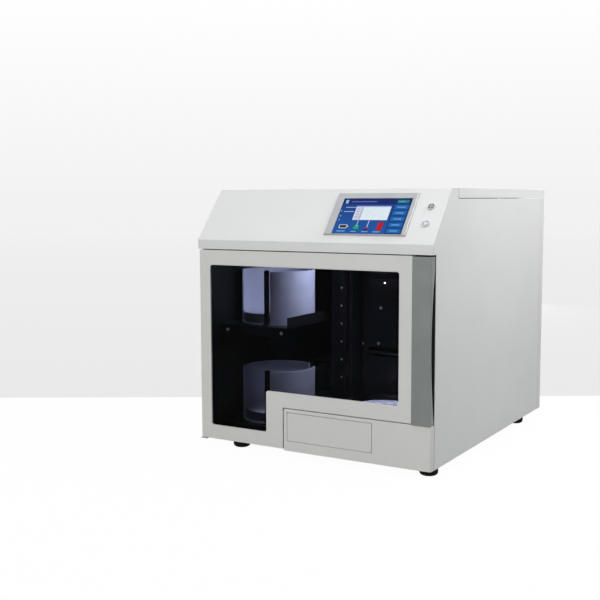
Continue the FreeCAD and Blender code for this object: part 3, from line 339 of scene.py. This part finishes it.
finishes = {
    "left_side_panel": sheetPaint, "right_side_panel": sheetPaint, "rear_panel": sheetPaint,
    "control_console": cabinetPaint, "top_cover": cabinetPaint, "lower_front_panel": mouldedAbs,
    "door_frame": mouldedAbs, "drawer_front": mouldedAbs, "door_handle": pullGrey,
    "door_window": smokedAcrylic, "screen_bezel": silverLacquer, "touch_screen": blackPlastic,
    "base_pan": panPaint, "front_frame": blackSteel, "stacker_shelf": blackSteel,
    "stacker_stool": blackSteel, "stacker_posts": blackSteel, "back_partition": blackSteel,
    "picker_column": blackSteel, "drive_cage": zincSheet, "upper_drive": driveFinish,
    "lower_drive": driveFinish, "power_supply": zincSheet, "drawer_runners": zincSheet, "feet": mouldedRubber,
    "pivot_pins": groundSteel, "lift_rail": blackSteel, "print_rod": groundSteel, "screws": groundSteel,
    "door_magnets": groundSteel, "lift_motor": castAluminium, "motor_pulley": castAluminium,
    "idler_pulley": castAluminium, "lift_carriage": castAluminium, "swing_motor": castAluminium,
    "upper_stacker": cupPlastic, "lower_stacker": cupPlastic, "disc_stacks": discPlastic,
    "drawer_discs": discPlastic, "lift_belt": beltRubber, "printer_frame": blackPlastic,
    "rear_fan": blackPlastic, "fan_rotor": blackPlastic, "power_inlet": blackPlastic,
    "power_rocker": blackPlastic, "main_board": solderMask, "lamp_bar": lampDiffuser,
    "drawer_tray": blackPlastic, "power_button": mouldedAbs, "menu_button": mouldedAbs,
    "picker_arm": blackPlastic, "gripper_head": blackPlastic, "gripper_plunger": groundSteel,
    "upper_drive_tray": blackPlastic, "lower_drive_tray": blackPlastic, "upper_eject_button": blackPlastic,
    "lower_eject_button": blackPlastic, "printer_tray": blackPlastic, "print_carriage": blackPlastic,
    "ink_cartridges": cartridgeShell,
}
for nodeName, material in finishes.items():
    node = frame["nodes"][nodeName]
    node.data.materials.clear()
    node.data.materials.append(material)
print("finishes given:", len(finishes))


# a mesh from points and faces; unless it is a flat print, doubled points merge and faces turn outward
def addPiece(name, points, faces, material, body, replaced=(), slot=None, sharp=35, flat=False):
    mesh = bpy.data.meshes.new(name)
    mesh.from_pydata(points, [], faces)
    if not flat:
        shape = bmesh.new()
        shape.from_mesh(mesh)
        bmesh.ops.remove_doubles(shape, verts=shape.verts, dist=0.000001)
        bmesh.ops.recalc_face_normals(shape, faces=shape.faces)
        shape.to_mesh(mesh)
        shape.free()
    mesh.materials.append(material)
    return placePiece(name, mesh, body, sharp, replaced)


def placePiece(name, mesh, body, sharp, replaced=()):
    mesh.shade_smooth()
    mesh.set_sharp_from_angle(angle=math.radians(sharp))
    piece = bpy.data.objects.new(name, mesh)
    bpy.context.collection.objects.link(piece)
    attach(piece, body)
    if replaced:
        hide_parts(*replaced)
    return piece


# quads between neighbours on a rows by columns grid, joined round where it wraps
def gridFaces(rows, columns, wrapRows=False, wrapColumns=False, start=0):
    i = np.arange(rows if wrapRows else rows - 1)[:, None]
    j = np.arange(columns if wrapColumns else columns - 1)[None, :]
    nextRow, nextColumn = (i + 1) % rows, (j + 1) % columns
    near = [i * columns + j, i * columns + nextColumn]
    far = [nextRow * columns + nextColumn, nextRow * columns + j]
    return (np.stack(near + far, axis=-1).reshape(-1, 4) + start).tolist()


cornerPoints = 4


# each corner cut back by the radius and filled with a quarter turn between its two directions
def roundedLoop(corners, radius):
    corners = np.asarray(corners, float)
    into = corners - np.roll(corners, 1, axis=0)
    out = np.roll(into, -1, axis=0)
    into = (into / np.linalg.norm(into, axis=1, keepdims=True))[:, None, :]
    out = (out / np.linalg.norm(out, axis=1, keepdims=True))[:, None, :]
    turn = np.linspace(0, math.pi / 2, cornerPoints)[None, :, None]
    centre = corners[:, None, :] + radius * (out - into)
    return (centre + radius * (into * np.sin(turn) - out * np.cos(turn))).reshape(-1, 2)


def rectangle(left, right, low, high):
    return [(left, low), (right, low), (right, high), (left, high)]


# a profile of (radius, height) turned about an upright axis through centre, or about one from front to back
def turned(profile, centre, segments, axis="z"):
    profile = np.asarray(profile, float) * mm
    angle = np.linspace(0, 2 * math.pi, segments, endpoint=False)[:, None]
    radius, rise = profile[None, :, 0], profile[None, :, 1]
    across, along = radius * np.cos(angle), radius * np.sin(angle)
    grid = np.stack([across, along, np.broadcast_to(rise, across.shape)], axis=-1)
    if axis == "y":
        grid = grid[..., [0, 2, 1]] * np.array([1, 1, -1])
    return (grid + centre).reshape(-1, 3), gridFaces(segments, len(profile), wrapRows=True)


slant = {"foot": 347.0, "angle": math.radians(50.5043)}  # the console's slope


# across, up the slope and out of it, in millimetres, as points in metres
def onSlope(x, s, n):
    x, s, n = np.broadcast_arrays(np.asarray(x, float), s, n)
    cosA, sinA = math.cos(slant["angle"]), math.sin(slant["angle"])
    depth = s * cosA - n * sinA
    rise = slant["foot"] + s * sinA + n * cosA
    return np.stack([x * mm, frontY + depth * mm, rise * mm], axis=-1)


def bodyOf(nodeName):
    bodies = frame["record"]["behaviour"]["bodies"]
    return next(body for body, nodes in bodies.items() if nodeName in nodes)


edgeRadii = {
    "control_console": 0.35, "top_cover": 0.5, "left_side_panel": 0.4, "right_side_panel": 0.4,
    "rear_panel": 0.3, "door_frame": 0.8, "lower_front_panel": 0.7, "drawer_front": 0.5, "door_handle": 0.6,
    "stacker_shelf": 0.5, "stacker_stool": 0.4, "stacker_posts": 0.6, "upper_stacker": 0.5,
    "lower_stacker": 0.5, "power_button": 0.3, "menu_button": 0.3, "picker_arm": 0.8, "gripper_head": 0.4,
    "lift_carriage": 0.4, "swing_motor": 1.0, "drawer_tray": 0.5, "lift_rail": 0.4, "front_frame": 0.3,
    "picker_column": 0.5,
}
rounding = {"segments": 2, "sharp": 30, "merge": 0.00001, "flat": 0.4}


# a copy of a CAD node, its loose triangles merged and its hard edges given a small radius
def softened(nodeName, width, material):
    mesh = frame["nodes"][nodeName].data.copy()
    shape = bmesh.new()
    shape.from_mesh(mesh)
    bmesh.ops.remove_doubles(shape, verts=shape.verts, dist=rounding["merge"])
    flat = math.radians(rounding["flat"])
    bmesh.ops.dissolve_limit(shape, angle_limit=flat, verts=shape.verts, edges=shape.edges)
    shape.to_mesh(mesh)
    shape.free()
    mesh.materials.clear()
    mesh.materials.append(material)
    piece = placePiece(nodeName + "Rounded", mesh, bodyOf(nodeName), rounding["sharp"], [nodeName])
    bevel = piece.modifiers.new("edge radius", "BEVEL")
    bevel.width = width * mm
    bevel.segments = rounding["segments"]
    bevel.limit_method = "ANGLE"
    bevel.angle_limit = math.radians(rounding["sharp"])
    bevel.harden_normals = True


for nodeName, radius in edgeRadii.items():
    softened(nodeName, radius, finishes[nodeName])
print("edges rounded:", len(edgeRadii))


# blocks of colour only, with no words: left, right, low and high on the slope, and a colour
screenPicture = {
    "panel": (38.3, 154.3, 16.0, 84.1), "corner": 0.8, "glass": 2.78, "layer": 0.01, "rows": 14,
    "low": "1A5CAA", "high": "133684",
    "blocks": [
        (38.3, 154.3, 73.0, 84.1, "0C2068"), (127.0, 154.3, 16.0, 73.0, "0A3678"),
        (131.0, 150.5, 74.8, 81.2, "1F7F8C"), (133.0, 144.0, 77.2, 78.6, "5FB6BE"),
        (42.5, 47.5, 74.2, 81.3, "8CCBEE"), (52.5, 96.5, 76.4, 79.0, "4E66B2"),
        (46.5, 64.5, 65.9, 67.1, "A9CCF3"), (45.7, 62.7, 57.7, 58.9, "A9CCF3"),
        (40.0, 41.8, 58.0, 61.0, "7FB0EC"), (41.8, 43.6, 48.4, 51.4, "7FB0EC"),
        (41.4, 43.2, 40.8, 43.8, "7FB0EC"), (64.6, 124.2, 41.6, 69.8, "0E3E8C"),
        (65.0, 123.8, 42.0, 69.4, "E9F6FD"), (65.0, 123.8, 67.2, 69.4, "A4AFE8"),
        (66.0, 73.0, 42.6, 66.8, "DAD8F0"), (73.6, 78.0, 42.6, 66.8, "BCCBD8"),
        (68.0, 72.0, 62.4, 63.6, "8E8CB8"), (68.0, 72.0, 57.4, 58.6, "8E8CB8"),
        (68.0, 72.0, 52.4, 53.6, "8E8CB8"), (68.0, 72.0, 47.4, 48.6, "8E8CB8"),
        (46.5, 60.7, 25.6, 33.0, "C9CFD6"), (48.0, 59.4, 27.0, 31.8, "27221D"),
        (61.2, 62.6, 28.0, 30.6, "DCE6EE"), (71.9, 80.9, 24.4, 29.6, "1FA866"),
        (74.2, 79.6, 29.6, 31.8, "5FD39B"), (75.9, 76.9, 31.8, 41.0, "BFE0F8"),
        (89.7, 97.6, 21.9, 25.2, "3A1E6A"), (91.4, 96.6, 25.2, 28.0, "A0305A"),
        (94.3, 95.3, 28.0, 41.6, "DCEBFB"), (111.8, 119.9, 22.2, 37.0, "CE0F1B"),
        (112.4, 119.4, 37.0, 38.6, "7A3020"), (45.1, 59.7, 19.2, 21.2, "6FA8E8"),
        (69.7, 79.0, 18.9, 20.9, "6FA8E8"), (87.9, 99.0, 18.7, 20.7, "6FA8E8"),
        (106.7, 119.2, 18.5, 20.5, "6FA8E8"),
    ],
    "keys": {
        "left": 129.0, "right": 152.4, "first": 62.5, "height": 8.8, "pitch": 11.3, "count": 5,
        "face": "1E66B4", "bar": "6FB2EE", "inset": 5, "barLow": 3.6, "barHigh": 5.2,
    },
}
screenGlow = {
    "drift": 9.0, "least": 0.44, "most": 0.5, "strength": 0.8, "roughness": 0.3, "specular": 0.06,
}


# a lit panel under glass: each block glows in its own colour, with little shine of its own
def screenMaterial():
    material, tree, shader, place = newMaterial("lit screen panel")
    ink = addNode(tree, "ShaderNodeAttribute", {"attribute_name": "ink"})
    drift = addNode(tree, "ShaderNodeTexNoise", {"Scale": perMm(screenGlow["drift"])}, {"Vector": place})
    span = {"To Min": screenGlow["least"], "To Max": screenGlow["most"]}
    level = addNode(tree, "ShaderNodeMapRange", span, {"Value": drift.outputs[0]})
    shade = addNode(
        tree, "ShaderNodeVectorMath", {"operation": "SCALE"},
        {0: ink.outputs["Color"], "Scale": level.outputs[0]},
    )
    tree.links.new(shade.outputs[0], shader.inputs["Base Color"])
    tree.links.new(shade.outputs[0], shader.inputs["Emission Color"])
    shader.inputs["Emission Strength"].default_value = screenGlow["strength"]
    shader.inputs["Roughness"].default_value = screenGlow["roughness"]
    shader.inputs["Specular IOR Level"].default_value = screenGlow["specular"]
    return material


def makeScreen():
    left, right, low, high = screenPicture["panel"]
    keys = screenPicture["keys"]
    blocks = list(screenPicture["blocks"])
    for k in range(keys["count"]):
        foot = keys["first"] - k * keys["pitch"]
        inner = (keys["left"] + keys["inset"], keys["right"] - keys["inset"])
        blocks.append((keys["left"], keys["right"], foot, foot + keys["height"], keys["face"]))
        blocks.append((*inner, foot + keys["barLow"], foot + keys["barHigh"], keys["bar"]))
    rows = screenPicture["rows"]
    up = np.linspace(low, high, rows)[:, None]
    points = [onSlope(np.array([[left, right]]), up, screenPicture["glass"]).reshape(-1, 3)]
    faces = gridFaces(rows, 2)
    fade = np.linspace(0, 1, rows)[:, None]
    foot, head = (np.array(linear(screenPicture[key])) for key in ("low", "high"))
    ground = foot * (1 - fade) + head * fade
    inks = [np.repeat(ground, 2, axis=0)]
    start = rows * 2
    for level, (*sides, hexCode) in enumerate(blocks):
        corner = min(screenPicture["corner"], (sides[3] - sides[2]) / 3, (sides[1] - sides[0]) / 3)
        loop = roundedLoop(rectangle(*sides), corner)
        lift = screenPicture["glass"] + screenPicture["layer"] * (1 + level)
        points.append(onSlope(loop[:, 0], loop[:, 1], lift))
        inks.append(np.tile(linear(hexCode), (len(loop), 1)))
        faces.append(list(range(start, start + len(loop))))
        start += len(loop)
    piece = addPiece(
        "screenPicture", np.concatenate(points), faces, screenMaterial(), "cabinet",
        slot="screen_glass", flat=True,
    )
    colours = piece.data.color_attributes.new("ink", "FLOAT_COLOR", "POINT")
    colours.data.foreach_set("color", np.concatenate(inks).astype(np.float32).ravel())


makeScreen()

# arcs printed on the two round buttons: inner and outer radius, first and last bearing
buttonMarks = {"x": 187.3, "power": 70.2, "menu": 38.1, "face": 1.66, "steps": 14}
powerArcs = [(2.2, 4.9, q + 7, q + 83) for q in (0, 90, 180, 270)] + [(0.0, 1.3, 0, 360)]
menuArcs = [(3.4, 4.9, q + 10, q + 110) for q in (0, 120, 240)]


def makeMark(name, s, arcs, material, body, slot):
    points, faces, steps = [], [], buttonMarks["steps"]
    for i, (inner, outer, first, last) in enumerate(arcs):
        angle = np.radians(np.linspace(first, last, steps))[:, None]
        radius = np.array([[inner, outer]])
        x, rise = buttonMarks["x"] + radius * np.cos(angle), s + radius * np.sin(angle)
        points.append(onSlope(x, rise, buttonMarks["face"]).reshape(-1, 3))
        faces += gridFaces(steps, 2, start=i * steps * 2)
    addPiece(name, np.concatenate(points), faces, material, body, slot=slot, flat=True)


makeMark("powerMark", buttonMarks["power"], powerArcs, darkPrint, "power_button", "button_dark")
makeMark("menuMark", buttonMarks["menu"], menuArcs, violetPrint, "menu_button", "button_ring")
print("screen and buttons ready")


# several (points, faces) pairs as one
def joined(parts):
    points, faces, start = [], [], 0
    for somePoints, someFaces in parts:
        points.append(somePoints)
        faces += [[i + start for i in f] for f in someFaces]
        start += len(somePoints)
    return np.concatenate(points), faces


# stacks with separate disc edges: across, back, the foot's height and the number of discs
discs = {
    "radius": 60.0, "bore": 7.5, "thickness": 1.2, "hub": 18.0, "hubRise": 0.15, "hubHalf": 1.0,
    "groove": 0.35, "lip": 0.2, "segments": 96, "sharp": 25,
    "cups": [(-138.5, 136.0, 203.5, 13), (-138.5, 136.0, 33.0, 13)], "drawer": [(36.75, 197.5, 32.0, 19)],
}


# a closed outline of (radius, height): up the grooved edge, in along the top and back along the bottom
def discProfile(count):
    t, lip = discs["thickness"], discs["lip"]
    radii = discs["radius"] - discs["groove"] * np.array([[1, 0, 0, 1]])
    heights = np.arange(count)[:, None] * t + np.array([[0.0, lip, t - lip, t]])
    edge = np.stack(np.broadcast_arrays(radii, heights), axis=-1).reshape(-1, 2)
    top, hub, half = count * t, discs["hub"], discs["hubHalf"]
    ridge = [(hub + half, top), (hub, top + discs["hubRise"]), (hub - half, top)]
    return np.concatenate([edge, ridge, [(discs["bore"], top), (discs["bore"], 0)], edge[:1]])


def makeDiscs(name, stacks, body, replaced, material):
    points, faces = joined([
        turned(discProfile(count), at(x, d, z), discs["segments"]) for x, d, z, count in stacks
    ])
    addPiece(name, points, faces, material, body, [replaced], sharp=discs["sharp"])


makeDiscs("discPiles", discs["cups"], "cabinet", "disc_stacks", discPlastic)
makeDiscs("finishedDiscs", discs["drawer"], "drawer", "drawer_discs", printedDisc)
print("discs ready")

screwPlaces = {
    "rail": [(-65.4, 231.0, 92.4 + 32.5 * i) for i in range(6)],
    "partition": [(-9.0, 274.2, 217.0), (-13.0, 274.2, 152.0), (165.0, 274.2, 217.0)],
    "shelf": [(-84.5, 56.2, 191.5), (-192.5, 56.2, 191.5)],
    "rear": [(x, 526.8, z) for x in (-198.0, 198.0) for z in (40.0, 220.0, 400.0)],
}
screwHead = {
    "radius": 3.0, "smallRadius": 1.8, "rise": 1.8, "smallRise": 1.0, "rim": 0.35, "cross": 0.28,
    "taper": 0.7, "reach": 0.72, "depth": 0.7, "blend": 0.06, "middle": 0.02, "rows": 10, "columns": 40,
}


# height over radius and bearing: a dome, less a cross whose arms narrow towards the rim
def screwGrid(radius, rise, away):
    rows, columns, rim = screwHead["rows"], screwHead["columns"], screwHead["rim"]
    r = np.linspace(screwHead["middle"], 1, rows)[:, None]
    a = np.linspace(0, 2 * math.pi, columns, endpoint=False)[None, :]
    across = np.minimum(np.abs(np.sin(a)), np.abs(np.cos(a))) * r
    arm = screwHead["cross"] * (1 - r * screwHead["taper"])
    cut = np.clip((arm - across) / screwHead["blend"], 0, 1) * (r < screwHead["reach"])
    dome = rise * (rim + (1 - rim) * np.sqrt(np.clip(1 - r ** 2, 0, 1)))
    height = dome - screwHead["depth"] * rise / screwHead["rise"] * cut
    height[-1] = 0
    grid = np.stack([radius * r * np.cos(a), -height * away, radius * r * np.sin(a)], axis=-1)
    return grid.reshape(-1, 3) * mm, gridFaces(rows, columns, wrapColumns=True)


def makeScrews():
    parts = []
    for group, places in screwPlaces.items():
        small = group == "rail"
        radius = screwHead["smallRadius"] if small else screwHead["radius"]
        rise = screwHead["smallRise"] if small else screwHead["rise"]
        away = -1 if group == "rear" else 1
        grid, quads = screwGrid(radius, rise, away)
        parts += [(grid + at(x, d + rise * away, z), quads) for x, d, z in places]
    points, faces = joined(parts)
    addPiece("crossScrews", points, faces, brightScrew, "cabinet", ["screws"])


makeScrews()
print("screws ready")

# the guard's spokes run outwards over the rings, then bend in to the rear panel
fanGuard = {
    "x": 150.0, "z": 72.0, "stand": 527.2, "wire": 0.9, "rings": (10.0, 18.0, 26.0, 34.0), "steps": 64,
    "bearings": (45, 135, 225, 315),
    "reach": (8.0, 34.0, 44.0, 48.5, 50.2), "proud": (1.2, 1.2, 1.2, 0.0, -1.3),
}


# a circle of the given radius carried along a path, square to it
def tube(path, radius, sides=10, closed=False):
    path = np.asarray(path, float)
    ahead = np.roll(path, -1, axis=0) - np.roll(path, 1, axis=0)
    if not closed:
        ahead[0], ahead[-1] = path[1] - path[0], path[-1] - path[-2]
    ahead /= np.linalg.norm(ahead, axis=1, keepdims=True)
    side = np.cross(ahead, [0.0, 1.0, 0.0])
    side /= np.linalg.norm(side, axis=1, keepdims=True)
    other = np.cross(side, ahead)
    a = np.linspace(0, 2 * math.pi, sides, endpoint=False)[None, :, None]
    ring = np.cos(a) * side[:, None, :] + np.sin(a) * other[:, None, :]
    faces = gridFaces(len(path), sides, wrapRows=closed, wrapColumns=True)
    if not closed:
        faces += [list(range(sides))[::-1], list(range((len(path) - 1) * sides, len(path) * sides))]
    return (path[:, None, :] + radius * ring).reshape(-1, 3), faces


def makeFanGuard():
    centre = at(fanGuard["x"], fanGuard["stand"], fanGuard["z"])
    a = np.linspace(0, 2 * math.pi, fanGuard["steps"], endpoint=False)
    circle = np.stack([np.cos(a), np.zeros(len(a)), np.sin(a)], axis=-1)
    wire = fanGuard["wire"] * mm
    parts = [tube(centre + radius * mm * circle, wire, closed=True) for radius in fanGuard["rings"]]
    reach, proud = (np.array(fanGuard[key])[:, None] * mm for key in ("reach", "proud"))
    for bearing in np.radians(fanGuard["bearings"]):
        way = np.array([math.cos(bearing), 0, math.sin(bearing)])
        parts.append(tube(centre + reach * way + proud * np.array([[0, 1, 0]]), wire))
    points, faces = joined(parts)
    addPiece("fanGuard", points, faces, plainWire, "cabinet", slot="bright_steel", sharp=60)


makeFanGuard()

# rear sockets: plated shells with a dark inside and a tongue, whose half height is a share of the height
sockets = {
    "middle": 100.0, "first": -182.5, "pitch": 21.0, "rim": 0.8, "corners": (0.6, 0.36),
    "shell": (524.6, 526.2),
    "dark": (524.5, 524.9), "tongue": (524.8, 525.6), "tongueReach": 0.36, "overlap": 0.1,
    "sizes": [(13.2, 12.0), (12.6, 5.6), (12.6, 5.6), (12.0, 11.0), (14.0, 11.5), (9.0, 9.0)],
    "shares": (0.16, 0.12, 0.12, 0.16, 0.16, 0.16),
}


# a loop of (across, up) at one depth
def onUpright(loop, d):
    return np.stack([loop[:, 0] * mm, np.full(len(loop), frontY + d * mm), loop[:, 1] * mm], axis=-1)


# a rectangular tube seen from behind: outer and inner rounded outlines at two depths
def rimmed(x, z, w, h, depths, thickness, corner, innerCorner):
    outer, inner = (
        roundedLoop(rectangle(x - w / 2 + t, x + w / 2 - t, z - h / 2 + t, z + h / 2 - t), bend)
        for t, bend in ((0, corner), (thickness, innerCorner))
    )
    rows = [(outer, depths[0]), (outer, depths[1]), (inner, depths[1]), (inner, depths[0])]
    grid = np.stack([onUpright(loop, d) for loop, d in rows])
    return grid.reshape(-1, 3), gridFaces(len(rows), grid.shape[1], wrapColumns=True)


# a block with a rounded upright outline, closed at both depths
def slab(left, right, front, back, low, high, corner=0.3):
    loop = roundedLoop(rectangle(left, right, low, high), corner)
    n = len(loop)
    points = np.concatenate([onUpright(loop, front), onUpright(loop, back)])
    return points, gridFaces(2, n, wrapColumns=True) + [list(range(n))[::-1], list(range(n, 2 * n))]


def makeSockets():
    shells, darks = [], []
    z, rim, overlap = sockets["middle"], sockets["rim"], sockets["overlap"]
    for i, ((w, h), share) in enumerate(zip(sockets["sizes"], sockets["shares"])):
        x = sockets["first"] + i * sockets["pitch"]
        halfW, halfH, reach = w / 2 + overlap, h / 2 + overlap, w * sockets["tongueReach"]
        shells.append(rimmed(x, z, w + 2 * rim, h + 2 * rim, sockets["shell"], rim, *sockets["corners"]))
        shells.append(slab(x - reach, x + reach, *sockets["tongue"], z - h * share, z + h * share))
        darks.append(slab(x - halfW, x + halfW, *sockets["dark"], z - halfH, z + halfH))
    addPiece("socketShells", *joined(shells), plainWire, "cabinet", slot="bright_steel")
    addPiece("socketInsides", *joined(darks), socketDark, "cabinet", slot="black_plastic")


makeSockets()

# a small round lamp beside each drive's eject button, as (radius, depth) from its rim
driveLamps = {
    "x": 1.0, "front": 272.0, "heights": (263.0, 305.8), "segments": 20,
    "dome": [(0.0, -0.9), (0.5, -0.8), (0.9, -0.5), (1.1, 0.0), (1.1, 0.6)],
}


def makeDriveLamps():
    places = [at(driveLamps["x"], driveLamps["front"], z) for z in driveLamps["heights"]]
    parts = [turned(driveLamps["dome"], place, driveLamps["segments"], "y") for place in places]
    addPiece("driveLamps", *joined(parts), readyLamp, "cabinet", slot="lamp_white")


makeDriveLamps()

# a thin black strip in the joint beside the lower panel: painted shadow that stands for the dark line of the
# gap there
seamShadow = {
    "left": 209.2, "right": 209.94, "front": 11.3, "back": 12.45, "low": 12.6, "high": 79.6, "corner": 0.05,
}
addPiece("seamShadowStrip", *slab(**seamShadow), seamShadowBlack, "cabinet", slot="black_plastic")
print("rear and drive details ready")

camera = {
    "azimuth": math.radians(30.978), "elevation": math.radians(5.947), "roll": math.radians(-0.185),
    "distance": 1.5189, "target": np.array([-0.01358, -0.2645, 0.25624]), "lens": 58.32, "sensor": 36.0,
}
toEye = (math.sin(camera["azimuth"]), -math.cos(camera["azimuth"]), 0)

# the floor is white up to a line behind the object, then pale grey that fades upwards with distance
room = {
    "floorSize": 40.0, "edge": 0.277, "blend": 0.004, "fadeLength": 10.0, "near": "FFFFFF",
    "far": [(0.0, "EAEAEA"), (0.2, "EEEEEE"), (1.0, "F3F3F3")], "lit": "7E7E7E", "roughness": 0.9,
    "glow": 1.08, "share": 0.9, "sky": ("F2F2F2", "FFFFFF"), "skyRise": 0.2,
    "air": "F6F7FF", "airStrength": 0.16,
}
lights = {
    "overheadSoftbox": {
        "place": (-0.8, -0.3, 2.1), "target": (0.0, 0.0, 0.2), "size": (2.2, 2.2), "power": 14.2,
    },
    "frontSoftbox": {
        "place": (0.15, -2.5, 1.2), "target": (0.0, -0.1, 0.2), "size": (1.8, 1.6), "power": 39.6,
    },
    "sideSoftbox": {
        "place": (0.8, 0.15, 1.0), "target": (0.21, 0.03, 0.36), "size": (0.9, 0.3), "power": 5.3,
        "spread": 130,
    },
    "rearSoftbox": {
        "place": (-0.6, 2.1, 0.35), "target": (-0.1, 0.2, 0.22), "size": (0.5, 0.8), "power": 12,
    },
    "drawerLamp": {
        "place": at(120, 60, 400), "target": at(70, 160, 55), "size": (0.02, 0.02), "power": 1.15,
        "colour": "E4E6FF", "spread": 34,
    },
    "cabinetLamp": {
        "place": at(30, 150, 400), "target": at(-70, 130, 225), "size": (0.06, 0.04), "power": 0.63,
        "colour": "E6ECFB", "spread": 116,
    },
}


isZero = {"operation": "LESS_THAN", 1: 0.5}  # for whole counts


# 1 for a ray that the eye follows straight, off gloss or through glass, 0 once it has lit a dull surface
def seenRay(tree):
    path = addNode(tree, "ShaderNodeLightPath").outputs
    kinds = {0: path["Is Transmission Ray"], 1: path["Is Glossy Ray"]}
    bent = addNode(tree, "ShaderNodeMath", {"operation": "MAXIMUM"}, kinds)
    fresh = addNode(tree, "ShaderNodeMath", isZero, {0: path["Diffuse Depth"]})
    depths = {0: path["Glossy Depth"], 1: path["Transmission Depth"]}
    within = addNode(tree, "ShaderNodeMath", {"operation": "MULTIPLY"}, depths)
    outside = addNode(tree, "ShaderNodeMath", isZero, {0: within.outputs[0]})
    pair = {0: fresh.outputs[0], 1: outside.outputs[0]}
    clear = addNode(tree, "ShaderNodeMath", {"operation": "MULTIPLY"}, pair)
    pair = {0: bent.outputs[0], 1: clear.outputs[0]}
    straight = addNode(tree, "ShaderNodeMath", {"operation": "MULTIPLY"}, pair)
    either = {0: path["Is Camera Ray"], 1: straight.outputs[0]}
    return addNode(tree, "ShaderNodeMath", {"operation": "MAXIMUM"}, either).outputs[0]


# what the eye sees glows by itself, so that no shadow falls on it, and other rays meet a grey floor
def floorMaterial():
    material, tree, shader, place = newMaterial("pale studio floor")
    output = next(n for n in tree.nodes if n.type == "OUTPUT_MATERIAL")
    shader.inputs["Base Color"].default_value = linear(room["lit"])
    shader.inputs["Roughness"].default_value = room["roughness"]
    away = [-part for part in toEye]
    dot = addNode(tree, "ShaderNodeVectorMath", {"operation": "DOT_PRODUCT", 1: away}, {0: place})
    along, edge = {"Value": dot.outputs["Value"]}, room["edge"]
    far, fade = (
        addNode(tree, "ShaderNodeMapRange", {"From Min": edge, "From Max": edge + room[key]}, along)
        for key in ("blend", "fadeLength")
    )
    grey = addNode(tree, "ShaderNodeValToRGB", {}, {0: fade.outputs[0]})
    tones = grey.color_ramp.elements
    tones.new(room["far"][1][0])
    for element, (position, colour) in zip(tones, room["far"]):
        element.position = position
        element.color = linear(colour)
    colour = addNode(
        tree, "ShaderNodeMix", {"data_type": "RGBA"}, {0: far.outputs[0], mix["second"]: grey.outputs[0]},
    )
    colour.inputs[mix["first"]].default_value = linear(room["near"])
    glow = addNode(
        tree, "ShaderNodeEmission", {"Strength": room["glow"]}, {"Color": colour.outputs[mix["result"]]},
    )
    part = addNode(tree, "ShaderNodeMath", {"operation": "MULTIPLY", 1: room["share"]}, {0: seenRay(tree)})
    both = addNode(
        tree, "ShaderNodeMixShader", {}, {0: part.outputs[0], 1: shader.outputs[0], 2: glow.outputs[0]},
    )
    tree.links.new(both.outputs[0], output.inputs["Surface"])
    return material


def makeFloor():
    half = room["floorSize"] / 2
    mesh = bpy.data.meshes.new("studioFloor")
    mesh.from_pydata([(x, y, 0) for x, y in rectangle(-half, half, -half, half)], [], [(0, 1, 2, 3)])
    floor = bpy.data.objects.new("studioFloor", mesh)
    bpy.context.collection.objects.link(floor)
    mesh.materials.append(floorMaterial())


# a white sky for the rays that are seen, and a weak even light for the others
def makeWorld():
    world = bpy.data.worlds.new("studio air")
    bpy.context.scene.world = world
    world.use_nodes = True
    tree = world.node_tree
    tree.nodes.clear()
    output = addNode(tree, "ShaderNodeOutputWorld")
    way = addNode(tree, "ShaderNodeTexCoord").outputs["Generated"]
    height = addNode(tree, "ShaderNodeSeparateXYZ", {}, {0: way}).outputs["Z"]
    span = {"From Min": 0.0, "From Max": room["skyRise"]}
    rise = addNode(tree, "ShaderNodeMapRange", span, {"Value": height})
    sky = addNode(tree, "ShaderNodeValToRGB", {}, {0: rise.outputs[0]})
    for element, colour in zip(sky.color_ramp.elements, room["sky"]):
        element.color = linear(colour)
    seen = addNode(tree, "ShaderNodeBackground", {"Strength": 1.0}, {"Color": sky.outputs[0]})
    air = {"Strength": room["airStrength"], "Color": linear(room["air"])}
    light = addNode(tree, "ShaderNodeBackground", air)
    both = addNode(
        tree, "ShaderNodeMixShader", {}, {0: seenRay(tree), 1: light.outputs[0], 2: seen.outputs[0]},
    )
    tree.links.new(both.outputs[0], output.inputs["Surface"])


def areaLight(name, place, target, size, power, colour="FFFFFF", spread=180):
    data = bpy.data.lights.new(name, "AREA")
    data.shape = "RECTANGLE"
    data.size, data.size_y = size
    data.energy = power
    data.color = linear(colour)[:3]
    data.spread = math.radians(spread)
    lamp = bpy.data.objects.new(name, data)
    bpy.context.collection.objects.link(lamp)
    lamp.location = place
    lamp.rotation_euler = (Vector(target) - Vector(place)).to_track_quat("-Z", "Y").to_euler()


def makeCamera():
    elevation, roll = camera["elevation"], camera["roll"]
    level = np.array(toEye) * math.cos(elevation)
    back = level + np.array([0, 0, math.sin(elevation)])
    right = np.cross(-back, [0, 0, 1])
    right /= np.linalg.norm(right)
    up = np.cross(right, -back)
    rolledRight = math.cos(roll) * right + math.sin(roll) * up
    rolledUp = -math.sin(roll) * right + math.cos(roll) * up
    data = bpy.data.cameras.new("studioCamera")
    data.sensor_fit = "HORIZONTAL"
    data.sensor_width = camera["sensor"]
    data.lens = camera["lens"]
    eye = bpy.data.objects.new("studioCamera", data)
    bpy.context.collection.objects.link(eye)
    axes = Matrix((rolledRight, rolledUp, back)).transposed().to_4x4()
    eye.matrix_world = Matrix.Translation(Vector(camera["target"] + back * camera["distance"])) @ axes
    bpy.context.scene.camera = eye


makeFloor()
makeWorld()
for name, settings in lights.items():
    areaLight(name, **settings)
makeCamera()
bpy.context.scene.view_settings.view_transform = "Standard"
print("room, light and camera ready")
